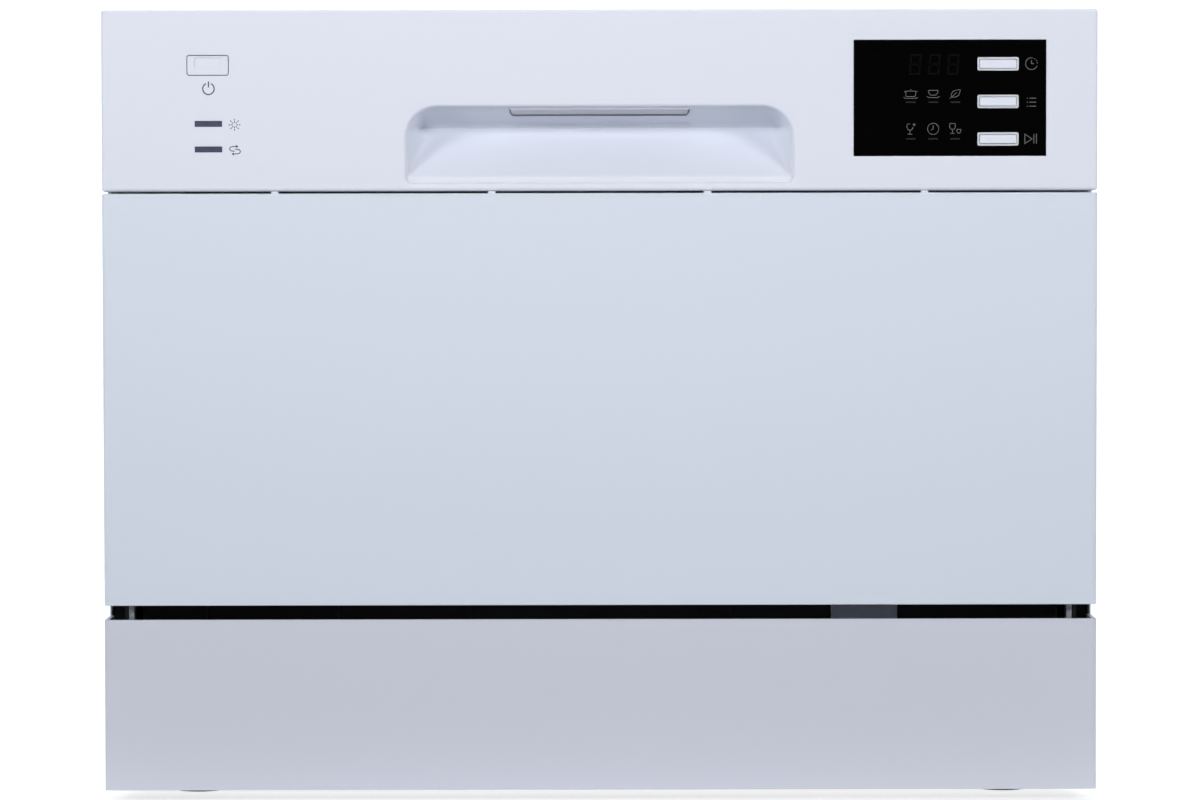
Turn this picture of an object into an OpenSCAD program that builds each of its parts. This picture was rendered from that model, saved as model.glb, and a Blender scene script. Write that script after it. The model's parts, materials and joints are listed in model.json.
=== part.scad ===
// Countertop dishwasher for six place settings, with a bottom-hinged door.
// Frame: origin on the floor under the centre, +X right, +Y to the rear, +Z up.

/* [Overall] */
// Width across the cabinet and the door
body_w = 550; // [530:1:600]
// Depth from the door's face to the rear screw heads
body_d = 500; // [490:1:560]
// Height from the floor to the top cover
body_h = 438; // [436:1:480]
// Height of the gap between the floor and the plinth
floor_gap = 6; // [3:0.5:9]
// Thickness of the painted and stainless steel sheets
sheet_t = 1; // [0.7:0.1:1.4]
// Wall of the moulded covers
mould_t = 2.5; // [2:0.1:3]

/* [Front] */
// Height of the control panel
panel_h = 100.1; // [98:0.1:104]
// Seam between the control panel and the door sheet
seam_gap = 1.2; // [0.8:0.1:2]
// Height of the door sheet's lower edge over the floor
door_low_z = 108.7; // [107.5:0.1:110]
// Height of the plinth's upper edge over the floor
plinth_top_z = 100.8; // [90:0.1:101]
// Depth of the door shell from front to back
shell_d = 28; // [27:0.5:30]
// Gap between the door shell and the cabinet
shell_gap = 2; // [1.5:0.1:3]
// Rounding of the front edges
edge_r = 2; // [1:0.1:2.4]

/* [Hinge and latch] */
// Hinge axis behind the front face
hinge_in = 14; // [13.5:0.1:14.5]
// Height of the hinge axis
hinge_z = 120; // [119:0.5:122]
// Radius of the hinge pins
hinge_pin_r = 4; // [3:0.1:5]
// Radial clearance of the running fits
run_gap = 0.05; // [0.02:0.01:0.1]
// Gap between pieces that pass each other
free_gap = 0.3; // [0.25:0.05:0.5]
// Radius of the latch lever's pivot pins
latch_pin_r = 3; // [2:0.1:3.5]

/* [Handle recess] */
// Width of the handle recess
recess_w = 213; // [180:1:240]
// Height of the recess opening
recess_h = 41.6; // [38:0.1:46]
// Lip under the recess, over the panel's lower edge
recess_lip = 4.8; // [4:0.1:8]
// Depth of the recess under its ceiling
recess_d = 28; // [24:0.5:30]
// Fall of the recess ceiling from front to back
ceiling_fall = 11.1; // [8:0.1:12]
// Rounding of the recess's upper corners
recess_r = 16.6; // [8:0.1:20]
// Width of the latch pad in the ceiling
pad_w = 98.8; // [60:0.1:120]

/* [Controls] */
// Width of the black window
window_w = 106.3; // [100:0.1:112]
// Height of the black window
window_h = 64.1; // [60:0.1:68]
// Centre of the window from the machine's right side
window_in = 81.6; // [75:0.1:85]
// Centre of the window over the panel's lower edge
window_up = 50.9; // [48:0.1:54]
// Width of a soft button with its rim
key_w = 22.8; // [16:0.1:26]
// Height of a soft button with its rim
key_h = 7.4; // [6:0.1:10]
// Width of the bright rim of a soft button
key_rim = 1; // [0.6:0.1:1.4]
// Upright distance between soft buttons
key_pitch = 20.7; // [16:0.1:22]
// Travel of a soft button
key_travel = 0.8; // [0.4:0.1:1]
// Width of the power button
power_w = 22.4; // [18:0.1:28]
// Centre of the power button from the machine's left side
power_in = 58.9; // [50:0.1:70]
// Height of the power button
power_h = 10.5; // [8:0.1:14]
// Travel of the power button
power_travel = 2; // [1:0.1:2.4]
// Width of an indicator lens
lens_w = 15.1; // [8:0.1:20]
// Height of an indicator lens
lens_h = 3.2; // [2:0.1:5]

/* [Tub] */
// Gap between the tub's inside and the cabinet's outer side
tub_side_gap = 35; // [33:0.5:39]
// Height of the tub floor over the hinge axis
tub_rise = 6; // [5:0.5:7]
// Gap between the tub's ceiling and the top of the cover
tub_top_gap = 22; // [21:0.5:24]
// Rounding of the tub's long edges
tub_r = 12; // [8:0.5:16]
// Gap between the tub and the rear panel
tub_rear_gap = 63; // [60:1:90]
// Width of the gasket's lip against the door
gasket_w = 7.5; // [6:0.1:9]
// Thickness of the felt on the tub
felt_t = 5; // [3:0.5:7]

/* [Water works] */
// Radius of the sump opening in the tub floor
sump_r = 90; // [84:1:94]
// Gap between the spray arm's tip and the inner pipe
arm_clear = 12.75; // [8:0.25:30]
// Radius of the spray arm's hub pin
arm_pin_r = 8; // [6:0.5:10]
// Radius of the filter cup
cup_r = 30; // [22:0.5:32]
// Radius of the salt cap
salt_cap_r = 31; // [28:0.5:34]
// Outer radius of the inlet thread
inlet_r = 13.2; // [9:0.1:14]
// Outer radius of the drain spigot
drain_r = 11; // [8:0.1:12]
// Radius of the mains cord's bore in its gland
cord_r = 4; // [3:0.1:5]
// Radius of the wash pump's motor
motor_r = 36; // [30:1:40]
// Radius of the pump rotor's shaft
shaft_r = 5; // [4:0.5:6]

/* [Basket] */
// Radius of the basket wire
wire_r = 1.8; // [1.4:0.1:2.2]
// Gap between the middle of the basket's outer wires and the tub wall
basket_gap = 18; // [15:0.5:24]
// Gap between the basket and the tub's rear wall
basket_rear_gap = 40.5; // [38:0.5:60]
// Height of the basket walls over its floor
basket_wall_h = 128; // [110:1:140]
// Number of fields across the basket floor
fields_x = 12; // [8:2:16]
// Number of fields along the basket floor
fields_y = 10; // [6:1:12]
// Radius of the basket wheels
wheel_r = 13; // [11:0.5:14]
// Radius of the wheels' stub axles
stub_r = 3; // [2.5:0.1:4]
// Height of the cutlery basket
cutlery_h = 122; // [90:1:130]
// Height of the plate tines
tine_h = 68; // [50:1:90]
// Distance between plate tines
tine_step = 25; // [20:1:35]
// Width of the cutlery basket
cutlery_w = 104; // [90:1:108]
// Length of the cutlery basket
cutlery_len = 140; // [110:1:150]
// Width of the folding cup shelf
shelf_w = 84; // [60:1:86]

/* [Feet and fasteners] */
// Radius of the rubber feet
foot_r = 16; // [12:0.5:20]
// Radius of the screw heads
screw_r = 3.5; // [2.5:0.1:4]
// Height of the screw heads
screw_head = 1.5; // [1:0.1:2]

/* [Hidden] */
$fn = 48;
front_y = -body_d / 2;
rear_y = body_d / 2 - screw_head;
half_w = body_w / 2;
shell_y = front_y + shell_d;
cab_y = shell_y + shell_gap;
hinge_y = front_y + hinge_in;
panel_z = body_h - panel_h;
door_top_z = panel_z - seam_gap;
inner_x = half_w - sheet_t;
tub_x = half_w - tub_side_gap;
tub_z = hinge_z + tub_rise;
tub_top_z = body_h - tub_top_gap;
window_x = half_w - window_in;

// Cabinet levels
cover_h = 24;
cover_z = body_h - cover_h;
tray_t = 3;
tray_z = floor_gap + 6;
tray_y = cab_y + 8;
tray_top_z = hinge_z - 2;
tray_rear_y = rear_y - 27;
tray_floor_z = tray_z + tray_t;
recess_top_z = 100;
tub_rear_y = rear_y - tub_rear_gap;
flange_x = half_w - 13;
flange_top_z = cover_z + 16;
flange_low_x = half_w - 21;
hinge_zone_z = hinge_z + 20;

// Door liner
liner_y = shell_y - 7;
liner_gap = 0.5;
pan_x = tub_x - gasket_w - liner_gap;
pan_depth = 18;
pan_y = liner_y + pan_depth;
pan_z = tub_z + 4;
pan_top_z = tub_top_z - 8;
pan_r = 8;
arm_x = half_w - 16;
bracket_x = half_w - 11;
arm_t = 3;
ear_r = 10;
tail_z = hinge_z - 30;
door_arm_len = 110;
door_arm_flange = 9;

// Latch
pad_swing = 0.8;
pad_y0 = front_y + mould_t + pad_swing;
pad_y1 = front_y + 11.6;
pad_r = 2.5;
pivot_y = front_y + 30.5;
pivot_z = panel_z + 51.5;
hook_z = cover_z + 7;
hook_h = 4.5;
hook_w = 12;
bar_r = 2.5;
bar_y = cab_y + 17;
slot_w = 28;

// Handle recess, seen from the side: distance behind the face and height
recess_z = panel_z + recess_lip;
ceiling_z = recess_z + recess_h;
deep_z = ceiling_z - ceiling_fall;
band_fall = 5;
band_in = 10;
lip_in = 2;

// Controls
window_z = panel_z + window_up;
window_fit = 0.15;
key_x = window_x + 26.5;
key_z = window_z + 18.75;
key_side_gap = 0.3;
power_x = -half_w + power_in;
power_z = panel_z + 69.55;
board_y = front_y + 9.5;
board_t = 1.6;
lens_x = power_x + 0.25;
lens_z = [panel_z + 37.3, panel_z + 23.2];

// Dispenser
disp_x = 75;
disp_z0 = pan_z + 100;
disp_z1 = disp_z0 + 90;
disp_flange = 5;
disp_face = 1.5;
cup_x0 = -60;
cup_x1 = -5;
cup_z0 = disp_z0 + 15;
cup_z1 = disp_z1 - 15;
lid_over = 4;
lid_t = 2;
rinse_x = 38;
rinse_z = (disp_z0 + disp_z1) / 2;
rinse_r = 16;
rinse_neck_r = 10;

// Wash chamber
arm_y = (cab_y + tub_rear_y) / 2;
column_r = 14;
column_z = tub_z + 15.7;
arm_z = column_z + free_gap;
arm_h = 14;
sump_z = tub_z - 46;
plate_t = 1.5;
well_x = 44;
well_y = arm_y - 26;
well_z = sump_z - 22;
salt_x = -tub_x + 65;
salt_y = cab_y + 90;
neck_r = salt_cap_r - 2;
softener_half = 60;
softener_fore = 50;
softener_aft = 70;
salt_grip_h = 10;
pipe_y = tub_rear_y - 13;
pipe_r = 9;
arm_reach = pipe_y - pipe_r - arm_y - arm_clear;
pipe_top_z = tub_top_z - 18;
rail_w = 24;
rail_top_z = hinge_z + 28;
rail_y0 = cab_y + 15;

// Pumps
pump_x = sump_r + 2;
pump_z = 70;
volute_r = motor_r + 4;
volute_w = 14;
motor_len = 110;
motor_x = pump_x + volute_w;
rotor_r = motor_r - 14;
pump_wall = 3;
drain_x = -60;
drain_z = 80;
drain_y1 = tray_rear_y - 71.5;
drain_y0 = drain_y1 - 65;
heater_y = cab_y + 70;
heater_z = 58;
heater_r = 20;
heater_len = 120;
hose_wall = 2;
hose_r = drain_r - 1;
drain_pump_r = 24;
outlet_r = 10;
outlet_bore = 7;
outlet_z = drain_z + 12;
outlet_in = 7.124;
outlet_y0 = arm_y + sqrt(pow(sump_r - 2, 2) - drain_x * drain_x) - outlet_in;
rotor_end = 20;

// Rear connectors
inlet_x = 60;
inlet_z = 55;
gland_x = 160;
gland_z = 60;
float_x = 120;
float_y = cab_y + 60;
float_r = 20;
float_pin_r = 4;

// Air breather on the left wall of the tub
breather_y0 = tub_rear_y - 165.5;
breather_y1 = tub_rear_y - 15.5;
breather_z0 = tub_z + 9;
breather_z1 = tub_z + 204;
vent_y = breather_y0 + 75;
vent_z = tub_z + 104;
vent_r = 18;

// Basket
basket_x = tub_x - basket_gap;
basket_y0 = cab_y + 15;
basket_y1 = tub_rear_y - basket_rear_gap;
basket_len = basket_y1 - basket_y0;
floor_z = rail_top_z + 20;
wire_rise = 1.7 * wire_r;
floor_top_z = floor_z + wire_rise + wire_r;
wall_z = floor_top_z;
field_x = 2 * basket_x / fields_x;
field_y = basket_len / fields_y;
rim_z = floor_top_z + basket_wall_h;
wall_levels = [wall_z + 40, wall_z + 84, rim_z];
shelf_z = wall_levels[1];
wheel_z = rail_top_z + wheel_r + free_gap;
wheel_x0 = basket_x + 2.6;
wheel_w = 6;
cross_step = (basket_len - 2 * wire_r) / fields_y;
wheel_y = [basket_y0 + wire_r + 2 * cross_step, basket_y1 - wire_r - cross_step];
cutlery_x1 = basket_x - 10;
cutlery_x0 = cutlery_x1 - cutlery_w;
cutlery_y0 = basket_y0 + 10;
cutlery_y1 = cutlery_y0 + cutlery_len;
cutlery_z = floor_top_z + free_gap;
cutlery_t = 2;
cell_slot_w = 8;
cell_slot_step = 14;
cell_slot_sill = 14;
cell_slot_h = cutlery_h - cell_slot_sill - 18;

white = "#dce1ed";
door_white = "#d2dbe8";
steel = "#b8bcc2";
black = "#17181a";
grey = "#8b8f96";
dark = "#2b2d31";
blue_grey = "#515770";
chrome = "#d8dbe0";
rubber = "#202124";
pale = "#c9ccd3";
copper = "#8a5a3a";
green = "#1f4a35";

// A block between two corners
module slab(x0, x1, y0, y1, z0, z1) {
    translate([x0, y0, z0]) cube([x1 - x0, y1 - y0, z1 - z0]);
}

// A flat outline with round corners, between two corners
module outline(u0, u1, v0, v1, r = 0) {
    if (r <= 0) {
        translate([u0, v0]) square([u1 - u0, v1 - v0]);
    } else {
        translate([u0 + r, v0]) square([u1 - u0 - 2 * r, v1 - v0]);
        translate([u0, v0 + r]) square([u1 - u0, v1 - v0 - 2 * r]);
        for (u = [u0 + r, u1 - r], v = [v0 + r, v1 - r]) translate([u, v]) circle(r);
    }
}

// An outline of Y and Z, drawn along X
module along_x(x0, x1) {
    translate([x0, 0, 0]) rotate([90, 0, 90]) linear_extrude(x1 - x0) children();
}

// An outline of X and Z, drawn along Y
module along_y(y0, y1) {
    translate([0, y1, 0]) rotate([90, 0, 0]) linear_extrude(y1 - y0) children();
}

// An outline of X and Y, drawn along Z
module along_z(z0, z1) {
    translate([0, 0, z0]) linear_extrude(z1 - z0) children();
}

module rod_x(r, x0, x1, y, z) {
    along_x(x0, x1) translate([y, z]) circle(r);
}

module rod_y(r, y0, y1, x, z) {
    along_y(y0, y1) translate([x, z]) circle(r);
}

module rod_z(r, z0, z1, x, y) {
    along_z(z0, z1) translate([x, y]) circle(r);
}

// Both sides of the machine
module both_sides() {
    children();
    mirror([1, 0, 0]) children();
}

// A basket wire, eight-sided with flats up, down and to the sides
module wire_outline() {
    rotate(22.5) circle(wire_r / cos(22.5), $fn = 8);
}

module wire_x(x0, x1, y, z) {
    along_x(x0, x1) translate([y, z]) wire_outline();
}

module wire_y(y0, y1, x, z) {
    along_y(y0, y1) translate([x, z]) wire_outline();
}

module wire_z(z0, z1, x, y) {
    along_z(z0, z1) translate([x, y]) wire_outline();
}

function ceiling_at(y) = ceiling_z - ceiling_fall * (y - front_y) / recess_d;

module base_tray() color(black) {
    difference() {
        slab(-inner_x, inner_x, tray_y, tray_rear_y, tray_z, tray_top_z);
        slab(-inner_x + tray_t, inner_x - tray_t, tray_y + tray_t, tray_rear_y - tray_t,
            tray_floor_z, tray_top_z + 1);
        slab(-inner_x - 1, inner_x + 1, tray_rear_y - tray_t - 1, tray_rear_y + 1,
            recess_top_z, tray_top_z + 1);
        rod_y(inlet_r + 2, tray_rear_y - 10, tray_rear_y + 10, inlet_x, inlet_z);
        rod_y(drain_r, tray_rear_y - 10, tray_rear_y + 10, drain_x, drain_z);
        rod_y(cord_r + 6, tray_rear_y - 10, tray_rear_y + 10, gland_x, gland_z);
        both_sides() slab(arm_x - 2, arm_x + arm_t + 2, tray_y - 1, tray_y + tray_t + 1,
            tail_z - 10, tray_top_z + 1);
    }
    // Upright ribs behind the gap under the door
    for (i = [-3 : 3]) slab(74 * i - 1, 74 * i + 1, tray_y - 2, tray_y, tray_z, tray_top_z - 6);
    // Posts under the tub floor
    both_sides() for (y = [tray_y + 12, tray_rear_y - 60])
        slab(tub_x - 30, tub_x - 14, y, y + 16, tray_floor_z, tub_z - sheet_t);
    // Ledges under the door springs
    both_sides() slab(arm_x - 14, arm_x + 6, hinge_y - 8, tray_y, tray_z, tray_z + 8);
    // Guide pin of the float
    rod_z(float_pin_r, tray_floor_z, tray_floor_z + 50, float_x, float_y);
}

module side_panel() {
    slab(inner_x, half_w, cab_y, rear_y - sheet_t, tray_z - 2, cover_z);
    slab(flange_x, inner_x, cab_y, cab_y + sheet_t, hinge_zone_z, cover_z);
    slab(flange_x, inner_x, rear_y - 2 * sheet_t, rear_y - sheet_t, recess_top_z, cover_z);
}

module left_side_panel() color(white) mirror([1, 0, 0]) side_panel();

module right_side_panel() color(white) side_panel();

module top_cover() color(white) {
    difference() {
        along_y(cab_y, rear_y) {
            outline(-half_w, half_w, cover_z + edge_r * 2, body_h, edge_r);
            outline(-half_w, half_w, cover_z, cover_z + cover_h / 2);
        }
        along_y(cab_y - 1, rear_y - mould_t)
            outline(-half_w + mould_t, half_w - mould_t, cover_z - 1, body_h - mould_t);
    }
    // Lip that rests on the tub's front flange
    slab(-flange_x, flange_x, cab_y, cab_y + mould_t, flange_top_z, body_h - mould_t);
}

module rear_panel() color(white) {
    slab(-half_w, half_w, rear_y - sheet_t, rear_y, recess_top_z, cover_z);
    slab(-flange_x, flange_x, tray_rear_y - tray_t, rear_y - sheet_t, recess_top_z,
        recess_top_z + sheet_t);
}

module plinth() color(white) {
    difference() {
        along_z(floor_gap, plinth_top_z)
            outline(-half_w, half_w, front_y, cab_y, edge_r);
        slab(-half_w + mould_t, half_w - mould_t, front_y + mould_t, cab_y + 1,
            floor_gap - 1, plinth_top_z + 1);
    }
    both_sides() slab(150, 150 + mould_t, front_y + mould_t, tray_y, tray_z + 10,
        plinth_top_z - 20);
}

module tub() color(steel) {
    difference() {
        union() {
            along_y(cab_y, tub_rear_y + sheet_t)
                outline(-tub_x - sheet_t, tub_x + sheet_t, tub_z - sheet_t,
                    tub_top_z + sheet_t, tub_r + sheet_t);
            slab(-flange_x, flange_x, cab_y, cab_y + sheet_t, hinge_zone_z, flange_top_z);
            slab(-flange_low_x, flange_low_x, cab_y, cab_y + sheet_t, tray_top_z,
                hinge_zone_z);
        }
        along_y(cab_y - 1, tub_rear_y) outline(-tub_x, tub_x, tub_z, tub_top_z, tub_r);
        rod_z(sump_r, tub_z - 5, tub_z + 5, 0, arm_y);
        rod_z(neck_r, tub_z - 5, tub_z + 5, salt_x, salt_y);
        rod_x(vent_r, -tub_x - 5, -tub_x + 5, vent_y, vent_z);
        slab(-slot_w / 2, slot_w / 2, cab_y - 1, cab_y + sheet_t + 1, tub_top_z + sheet_t,
            flange_top_z - 3);
    }
}

module tub_felt() color(grey) {
    felt_r = tub_r + sheet_t;
    difference() {
        along_y(cab_y + 30, tub_rear_y - 30)
            outline(-tub_x - sheet_t - felt_t, tub_x + sheet_t + felt_t,
                tub_z, tub_top_z + sheet_t + felt_t, felt_r + felt_t);
        along_y(cab_y, tub_rear_y)
            outline(-tub_x - sheet_t, tub_x + sheet_t, tub_z - sheet_t,
                tub_top_z + sheet_t, felt_r);
        slab(-half_w, half_w, cab_y, tub_rear_y, 0, tub_z + 30);
        slab(-half_w, 0, breather_y0 - 10, tub_rear_y, 0, breather_z1 + 15);
    }
}

module door_gasket() color(rubber) {
    difference() {
        along_y(cab_y + sheet_t, cab_y + 11)
            outline(-tub_x, tub_x, tub_z, tub_top_z, tub_r);
        along_y(cab_y, cab_y + 12)
            outline(-tub_x + gasket_w, tub_x - gasket_w, pan_z - free_gap,
                pan_top_z + 2, pan_r);
    }
}

module basket_rails() color(pale) both_sides() {
    rail_x = tub_x - rail_w;
    rail_t = 2.5;
    along_y(rail_y0, tub_rear_y - 12) difference() {
        polygon([
            [rail_x, tub_z], [tub_x - tub_r, tub_z], [tub_x, tub_z + tub_r],
            [tub_x, rail_top_z], [rail_x, rail_top_z],
        ]);
        polygon([
            [rail_x + rail_t, tub_z - 1], [tub_x - tub_r - rail_t, tub_z - 1],
            [tub_x - tub_r - rail_t, tub_z + rail_t], [tub_x - rail_t, tub_z + tub_r + rail_t],
            [tub_x - rail_t, rail_top_z - rail_t], [rail_x + rail_t, rail_top_z - rail_t],
        ]);
    }
}

module sump() color(dark) {
    difference() {
        union() {
            rod_z(sump_r + 8, tub_z - sheet_t - tray_t, tub_z - sheet_t, 0, arm_y);
            rod_z(sump_r - 2, sump_z, tub_z - sheet_t, 0, arm_y);
            rod_z(cup_r + 4, well_z, sump_z + 1, well_x, well_y);
            rod_x(14, sump_r - 20, pump_x, arm_y, sump_z + 18);
            rod_y(outlet_r, outlet_y0, drain_y0, drain_x, outlet_z);
        }
        rod_z(sump_r - 5, sump_z + tray_t, tub_z, 0, arm_y);
        rod_z(cup_r + 1, well_z + tray_t, sump_z + 10, well_x, well_y);
        rod_x(11, sump_r - 22, pump_x + 1, arm_y, sump_z + 18);
        rod_y(outlet_bore, outlet_y0 - 2, drain_y0 + 1, drain_x, outlet_z);
    }
    // Column that feeds and carries the spray arm
    difference() {
        union() {
            rod_z(column_r, sump_z + tray_t, column_z, 0, arm_y);
            rod_z(arm_pin_r, column_z, arm_z + arm_h + 3, 0, arm_y);
        }
        rod_z(arm_pin_r - 2, sump_z + 10, arm_z + arm_h - 2, 0, arm_y);
    }
}

module filter_plate() color(steel) {
    difference() {
        rod_z(sump_r + 6, tub_z, tub_z + plate_t, 0, arm_y);
        rod_z(column_r + free_gap, tub_z - 1, tub_z + plate_t + 1, 0, arm_y);
        rod_z(cup_r + free_gap, tub_z - 1, tub_z + plate_t + 1, well_x, well_y);
    }
}

module filter_cup() color(dark) {
    top_z = tub_z + plate_t + free_gap;
    difference() {
        union() {
            rod_z(cup_r, well_z + tray_t + free_gap, top_z + 1, well_x, well_y);
            rod_z(cup_r + 3, top_z, top_z + 2, well_x, well_y);
        }
        rod_z(cup_r - 2, well_z + tray_t + 3, top_z + 3, well_x, well_y);
    }
    slab(well_x - cup_r + 1, well_x + cup_r - 1, well_y - 1.5, well_y + 1.5, top_z - 8, top_z + 8);
}

module inner_pipe() color(dark) {
    rod_z(pipe_r, tub_z, pipe_top_z, 0, pipe_y);
    translate([0, pipe_y, pipe_top_z]) sphere(pipe_r);
    rod_y(pipe_r, arm_y, pipe_y, 0, pipe_top_z);
    rod_z(pipe_r + 9, pipe_top_z - 16, pipe_top_z - 2, 0, arm_y);
    rod_z(pipe_r, pipe_top_z - 20, pipe_top_z, 0, arm_y);
    slab(-6, 6, pipe_y, tub_rear_y, pipe_top_z - 40, pipe_top_z - 28);
}

module wash_pump() color(grey) {
    motor_end = motor_x + motor_len;
    difference() {
        union() {
            rod_x(volute_r, pump_x, motor_x, arm_y, pump_z);
            rod_x(motor_r, motor_x, motor_end, arm_y, pump_z);
            slab(motor_x + 15, motor_end - 15, arm_y - 20, arm_y + 20, tray_floor_z, pump_z);
            rod_x(14, pump_x, pump_x + 5, arm_y, sump_z + 18);
        }
        rod_x(volute_r - pump_wall, pump_x + pump_wall, motor_x - 1, arm_y, pump_z);
        rod_x(motor_r - pump_wall, motor_x + pump_wall, motor_end - 2 * pump_wall, arm_y, pump_z);
        rod_x(shaft_r + run_gap, motor_x - 2, motor_end - pump_wall, arm_y, pump_z);
        rod_x(11, pump_x - 1, pump_x + 6, arm_y, sump_z + 18);
    }
}

module pump_rotor() color(copper) {
    rod_x(shaft_r, pump_x + 5, motor_x + motor_len - pump_wall - free_gap, arm_y, pump_z);
    rod_x(volute_r - pump_wall - 3, pump_x + 5, pump_x + 8, arm_y, pump_z);
    rod_x(rotor_r, motor_x + rotor_end, motor_x + motor_len - rotor_end, arm_y, pump_z);
}

module drain_pump() color(dark) {
    difference() {
        union() {
            rod_y(drain_pump_r, drain_y0, drain_y1, drain_x, drain_z);
            slab(drain_x - 18, drain_x + 18, drain_y0 + 10, drain_y1 - 10, tray_floor_z, drain_z);
        }
        rod_y(outlet_bore, drain_y0 - 1, drain_y0 + 20, drain_x, outlet_z);
        rod_y(hose_r - hose_wall, drain_y1 - 20, drain_y1 + 1, drain_x, drain_z);
    }
}

module drain_hose() color(grey) {
    difference() {
        rod_y(hose_r, drain_y1, tray_rear_y - tray_t - 3, drain_x, drain_z);
        rod_y(hose_r - hose_wall, drain_y1 - 1, tray_rear_y, drain_x, drain_z);
    }
}

module drain_spigot() color(dark) {
    difference() {
        union() {
            rod_y(drain_r + 7, tray_rear_y, tray_rear_y + 3, drain_x, drain_z);
            rod_y(drain_r + 7, tray_rear_y - tray_t - 3, tray_rear_y - tray_t, drain_x, drain_z);
            rod_y(hose_r, tray_rear_y - tray_t - 3, tray_rear_y + 1, drain_x, drain_z);
            rod_y(drain_r, tray_rear_y, rear_y, drain_x, drain_z);
        }
        rod_y(hose_r - hose_wall, tray_rear_y - 20, rear_y + 1, drain_x, drain_z);
    }
}

module heater() color(steel) {
    end_x = heater_len / 2;
    rod_x(heater_r, -end_x, end_x, heater_y, heater_z);
    both_sides() {
        slab(end_x / 2, end_x - 15, heater_y - heater_r / 2, heater_y + heater_r / 2, tray_floor_z,
            heater_z - heater_r / 2);
        rod_x(heater_r * 0.3, end_x, end_x + 12, heater_y, heater_z);
    }
}

module water_softener() color(grey) {
    difference() {
        union() {
            slab(salt_x - softener_half, salt_x + softener_half, salt_y - softener_fore,
                salt_y + softener_aft, tray_floor_z, tub_z - sheet_t - 4);
            rod_z(neck_r, tray_floor_z, tub_z + 2, salt_x, salt_y);
            rod_z(neck_r + 7, tub_z, tub_z + 2, salt_x, salt_y);
        }
        rod_z(neck_r - 4, tray_floor_z + 8, tub_z + 3, salt_x, salt_y);
    }
}

module salt_cap() color(pale) {
    cap_z = tub_z + 2 + free_gap;
    rod_z(neck_r - 4 - free_gap, tub_z - 12, cap_z + 1, salt_x, salt_y);
    rod_z(salt_cap_r, cap_z, cap_z + 6, salt_x, salt_y);
    slab(salt_x - salt_cap_r + 4, salt_x + salt_cap_r - 4, salt_y - 2, salt_y + 2, cap_z,
        cap_z + salt_grip_h);
}

module air_breather() color(pale) {
    slab(-flange_x, -tub_x - sheet_t, breather_y0, breather_y1, breather_z0, breather_z1);
    difference() {
        union() {
            rod_x(vent_r - 0.05, -tub_x - sheet_t - 1, -tub_x + 2, vent_y, vent_z);
            rod_x(vent_r + 6, -tub_x, -tub_x + 6, vent_y, vent_z);
        }
        rod_x(vent_r - 4, -tub_x - 1, -tub_x + 7, vent_y, vent_z);
    }
}

module spray_arm() color(grey) {
    difference() {
        union() {
            rod_z(26, arm_z, arm_z + arm_h, 0, arm_y);
            for (a = [35, 215]) translate([0, arm_y, 0]) rotate(a) along_z(arm_z, arm_z + arm_h) {
                polygon([[0, -25], [arm_reach - 16, -15], [arm_reach - 16, 15], [0, 25]]);
                translate([arm_reach - 16, 0]) circle(15.5);
            }
        }
        rod_z(arm_pin_r + run_gap, arm_z - 1, arm_z + arm_h + 1, 0, arm_y);
        for (a = [35, 215], r = [60 : 22 : arm_reach - 20])
            translate([0, arm_y, 0]) rotate(a) rod_z(1.6, arm_z + arm_h / 2, arm_z + arm_h + 1, r, 0);
    }
}

module inlet_valve() color(pale) {
    difference() {
        union() {
            slab(inlet_x - 20, inlet_x + 20, tray_rear_y - 72, tray_rear_y - tray_t,
                inlet_z - 20, inlet_z + 20);
            rod_y(inlet_r + 2, tray_rear_y - tray_t, tray_rear_y, inlet_x, inlet_z);
            rod_y(inlet_r + 7, tray_rear_y, tray_rear_y + 3, inlet_x, inlet_z);
            rod_y(inlet_r, tray_rear_y, rear_y - 4, inlet_x, inlet_z);
        }
        rod_y(inlet_r - 4, tray_rear_y - 20, rear_y, inlet_x, inlet_z);
    }
}

module cord_gland() color(black) {
    difference() {
        union() {
            rod_y(cord_r + 6, tray_rear_y - 14, tray_rear_y + 14, gland_x, gland_z);
            rod_y(cord_r + 10, tray_rear_y, tray_rear_y + 5, gland_x, gland_z);
        }
        rod_y(cord_r, tray_rear_y - 15, tray_rear_y + 15, gland_x, gland_z);
    }
}

module strike() color(steel) {
    difference() {
        slab(-slot_w / 2 - 6, slot_w / 2 + 6, cab_y + sheet_t, cab_y + 4, tub_top_z + sheet_t,
            flange_top_z);
        slab(-slot_w / 2, slot_w / 2, cab_y, cab_y + 5, tub_top_z, flange_top_z - 3);
    }
    both_sides() slab(slot_w / 2, slot_w / 2 + 3, cab_y + 4, bar_y + 4, tub_top_z + 4,
        body_h - mould_t - 1);
    rod_x(bar_r, -slot_w / 2, slot_w / 2, bar_y, hook_z + hook_h + free_gap + bar_r);
}

module hinge_brackets() color(steel) both_sides() {
    along_x(bracket_x, bracket_x + arm_t) {
        translate([hinge_y, hinge_z]) circle(ear_r);
        translate([hinge_y, hinge_z - 8]) square([tray_y - hinge_y, 16]);
        translate([tray_y - 4, hinge_z - 40]) square([4, 48]);
    }
    rod_x(hinge_pin_r, arm_x - 2, bracket_x, hinge_y, hinge_z);
    rod_x(hinge_pin_r + 2, arm_x - 3, arm_x - 1, hinge_y, hinge_z);
}

module door_springs() color(steel) both_sides() {
    difference() {
        rod_z(7, tray_z + 8, tail_z - 10, arm_x - 3, hinge_y);
        rod_z(4, tray_z + 12, tail_z - 14, arm_x - 3, hinge_y);
    }
}

module loom_guard() color(grey) {
    slab(129.5, 166.6, tray_y - 5, tray_y - 3, 84, 112);
    for (x = [131, 163]) slab(x, x + 2, tray_y - 3, tray_y, 86, 110);
}

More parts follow.
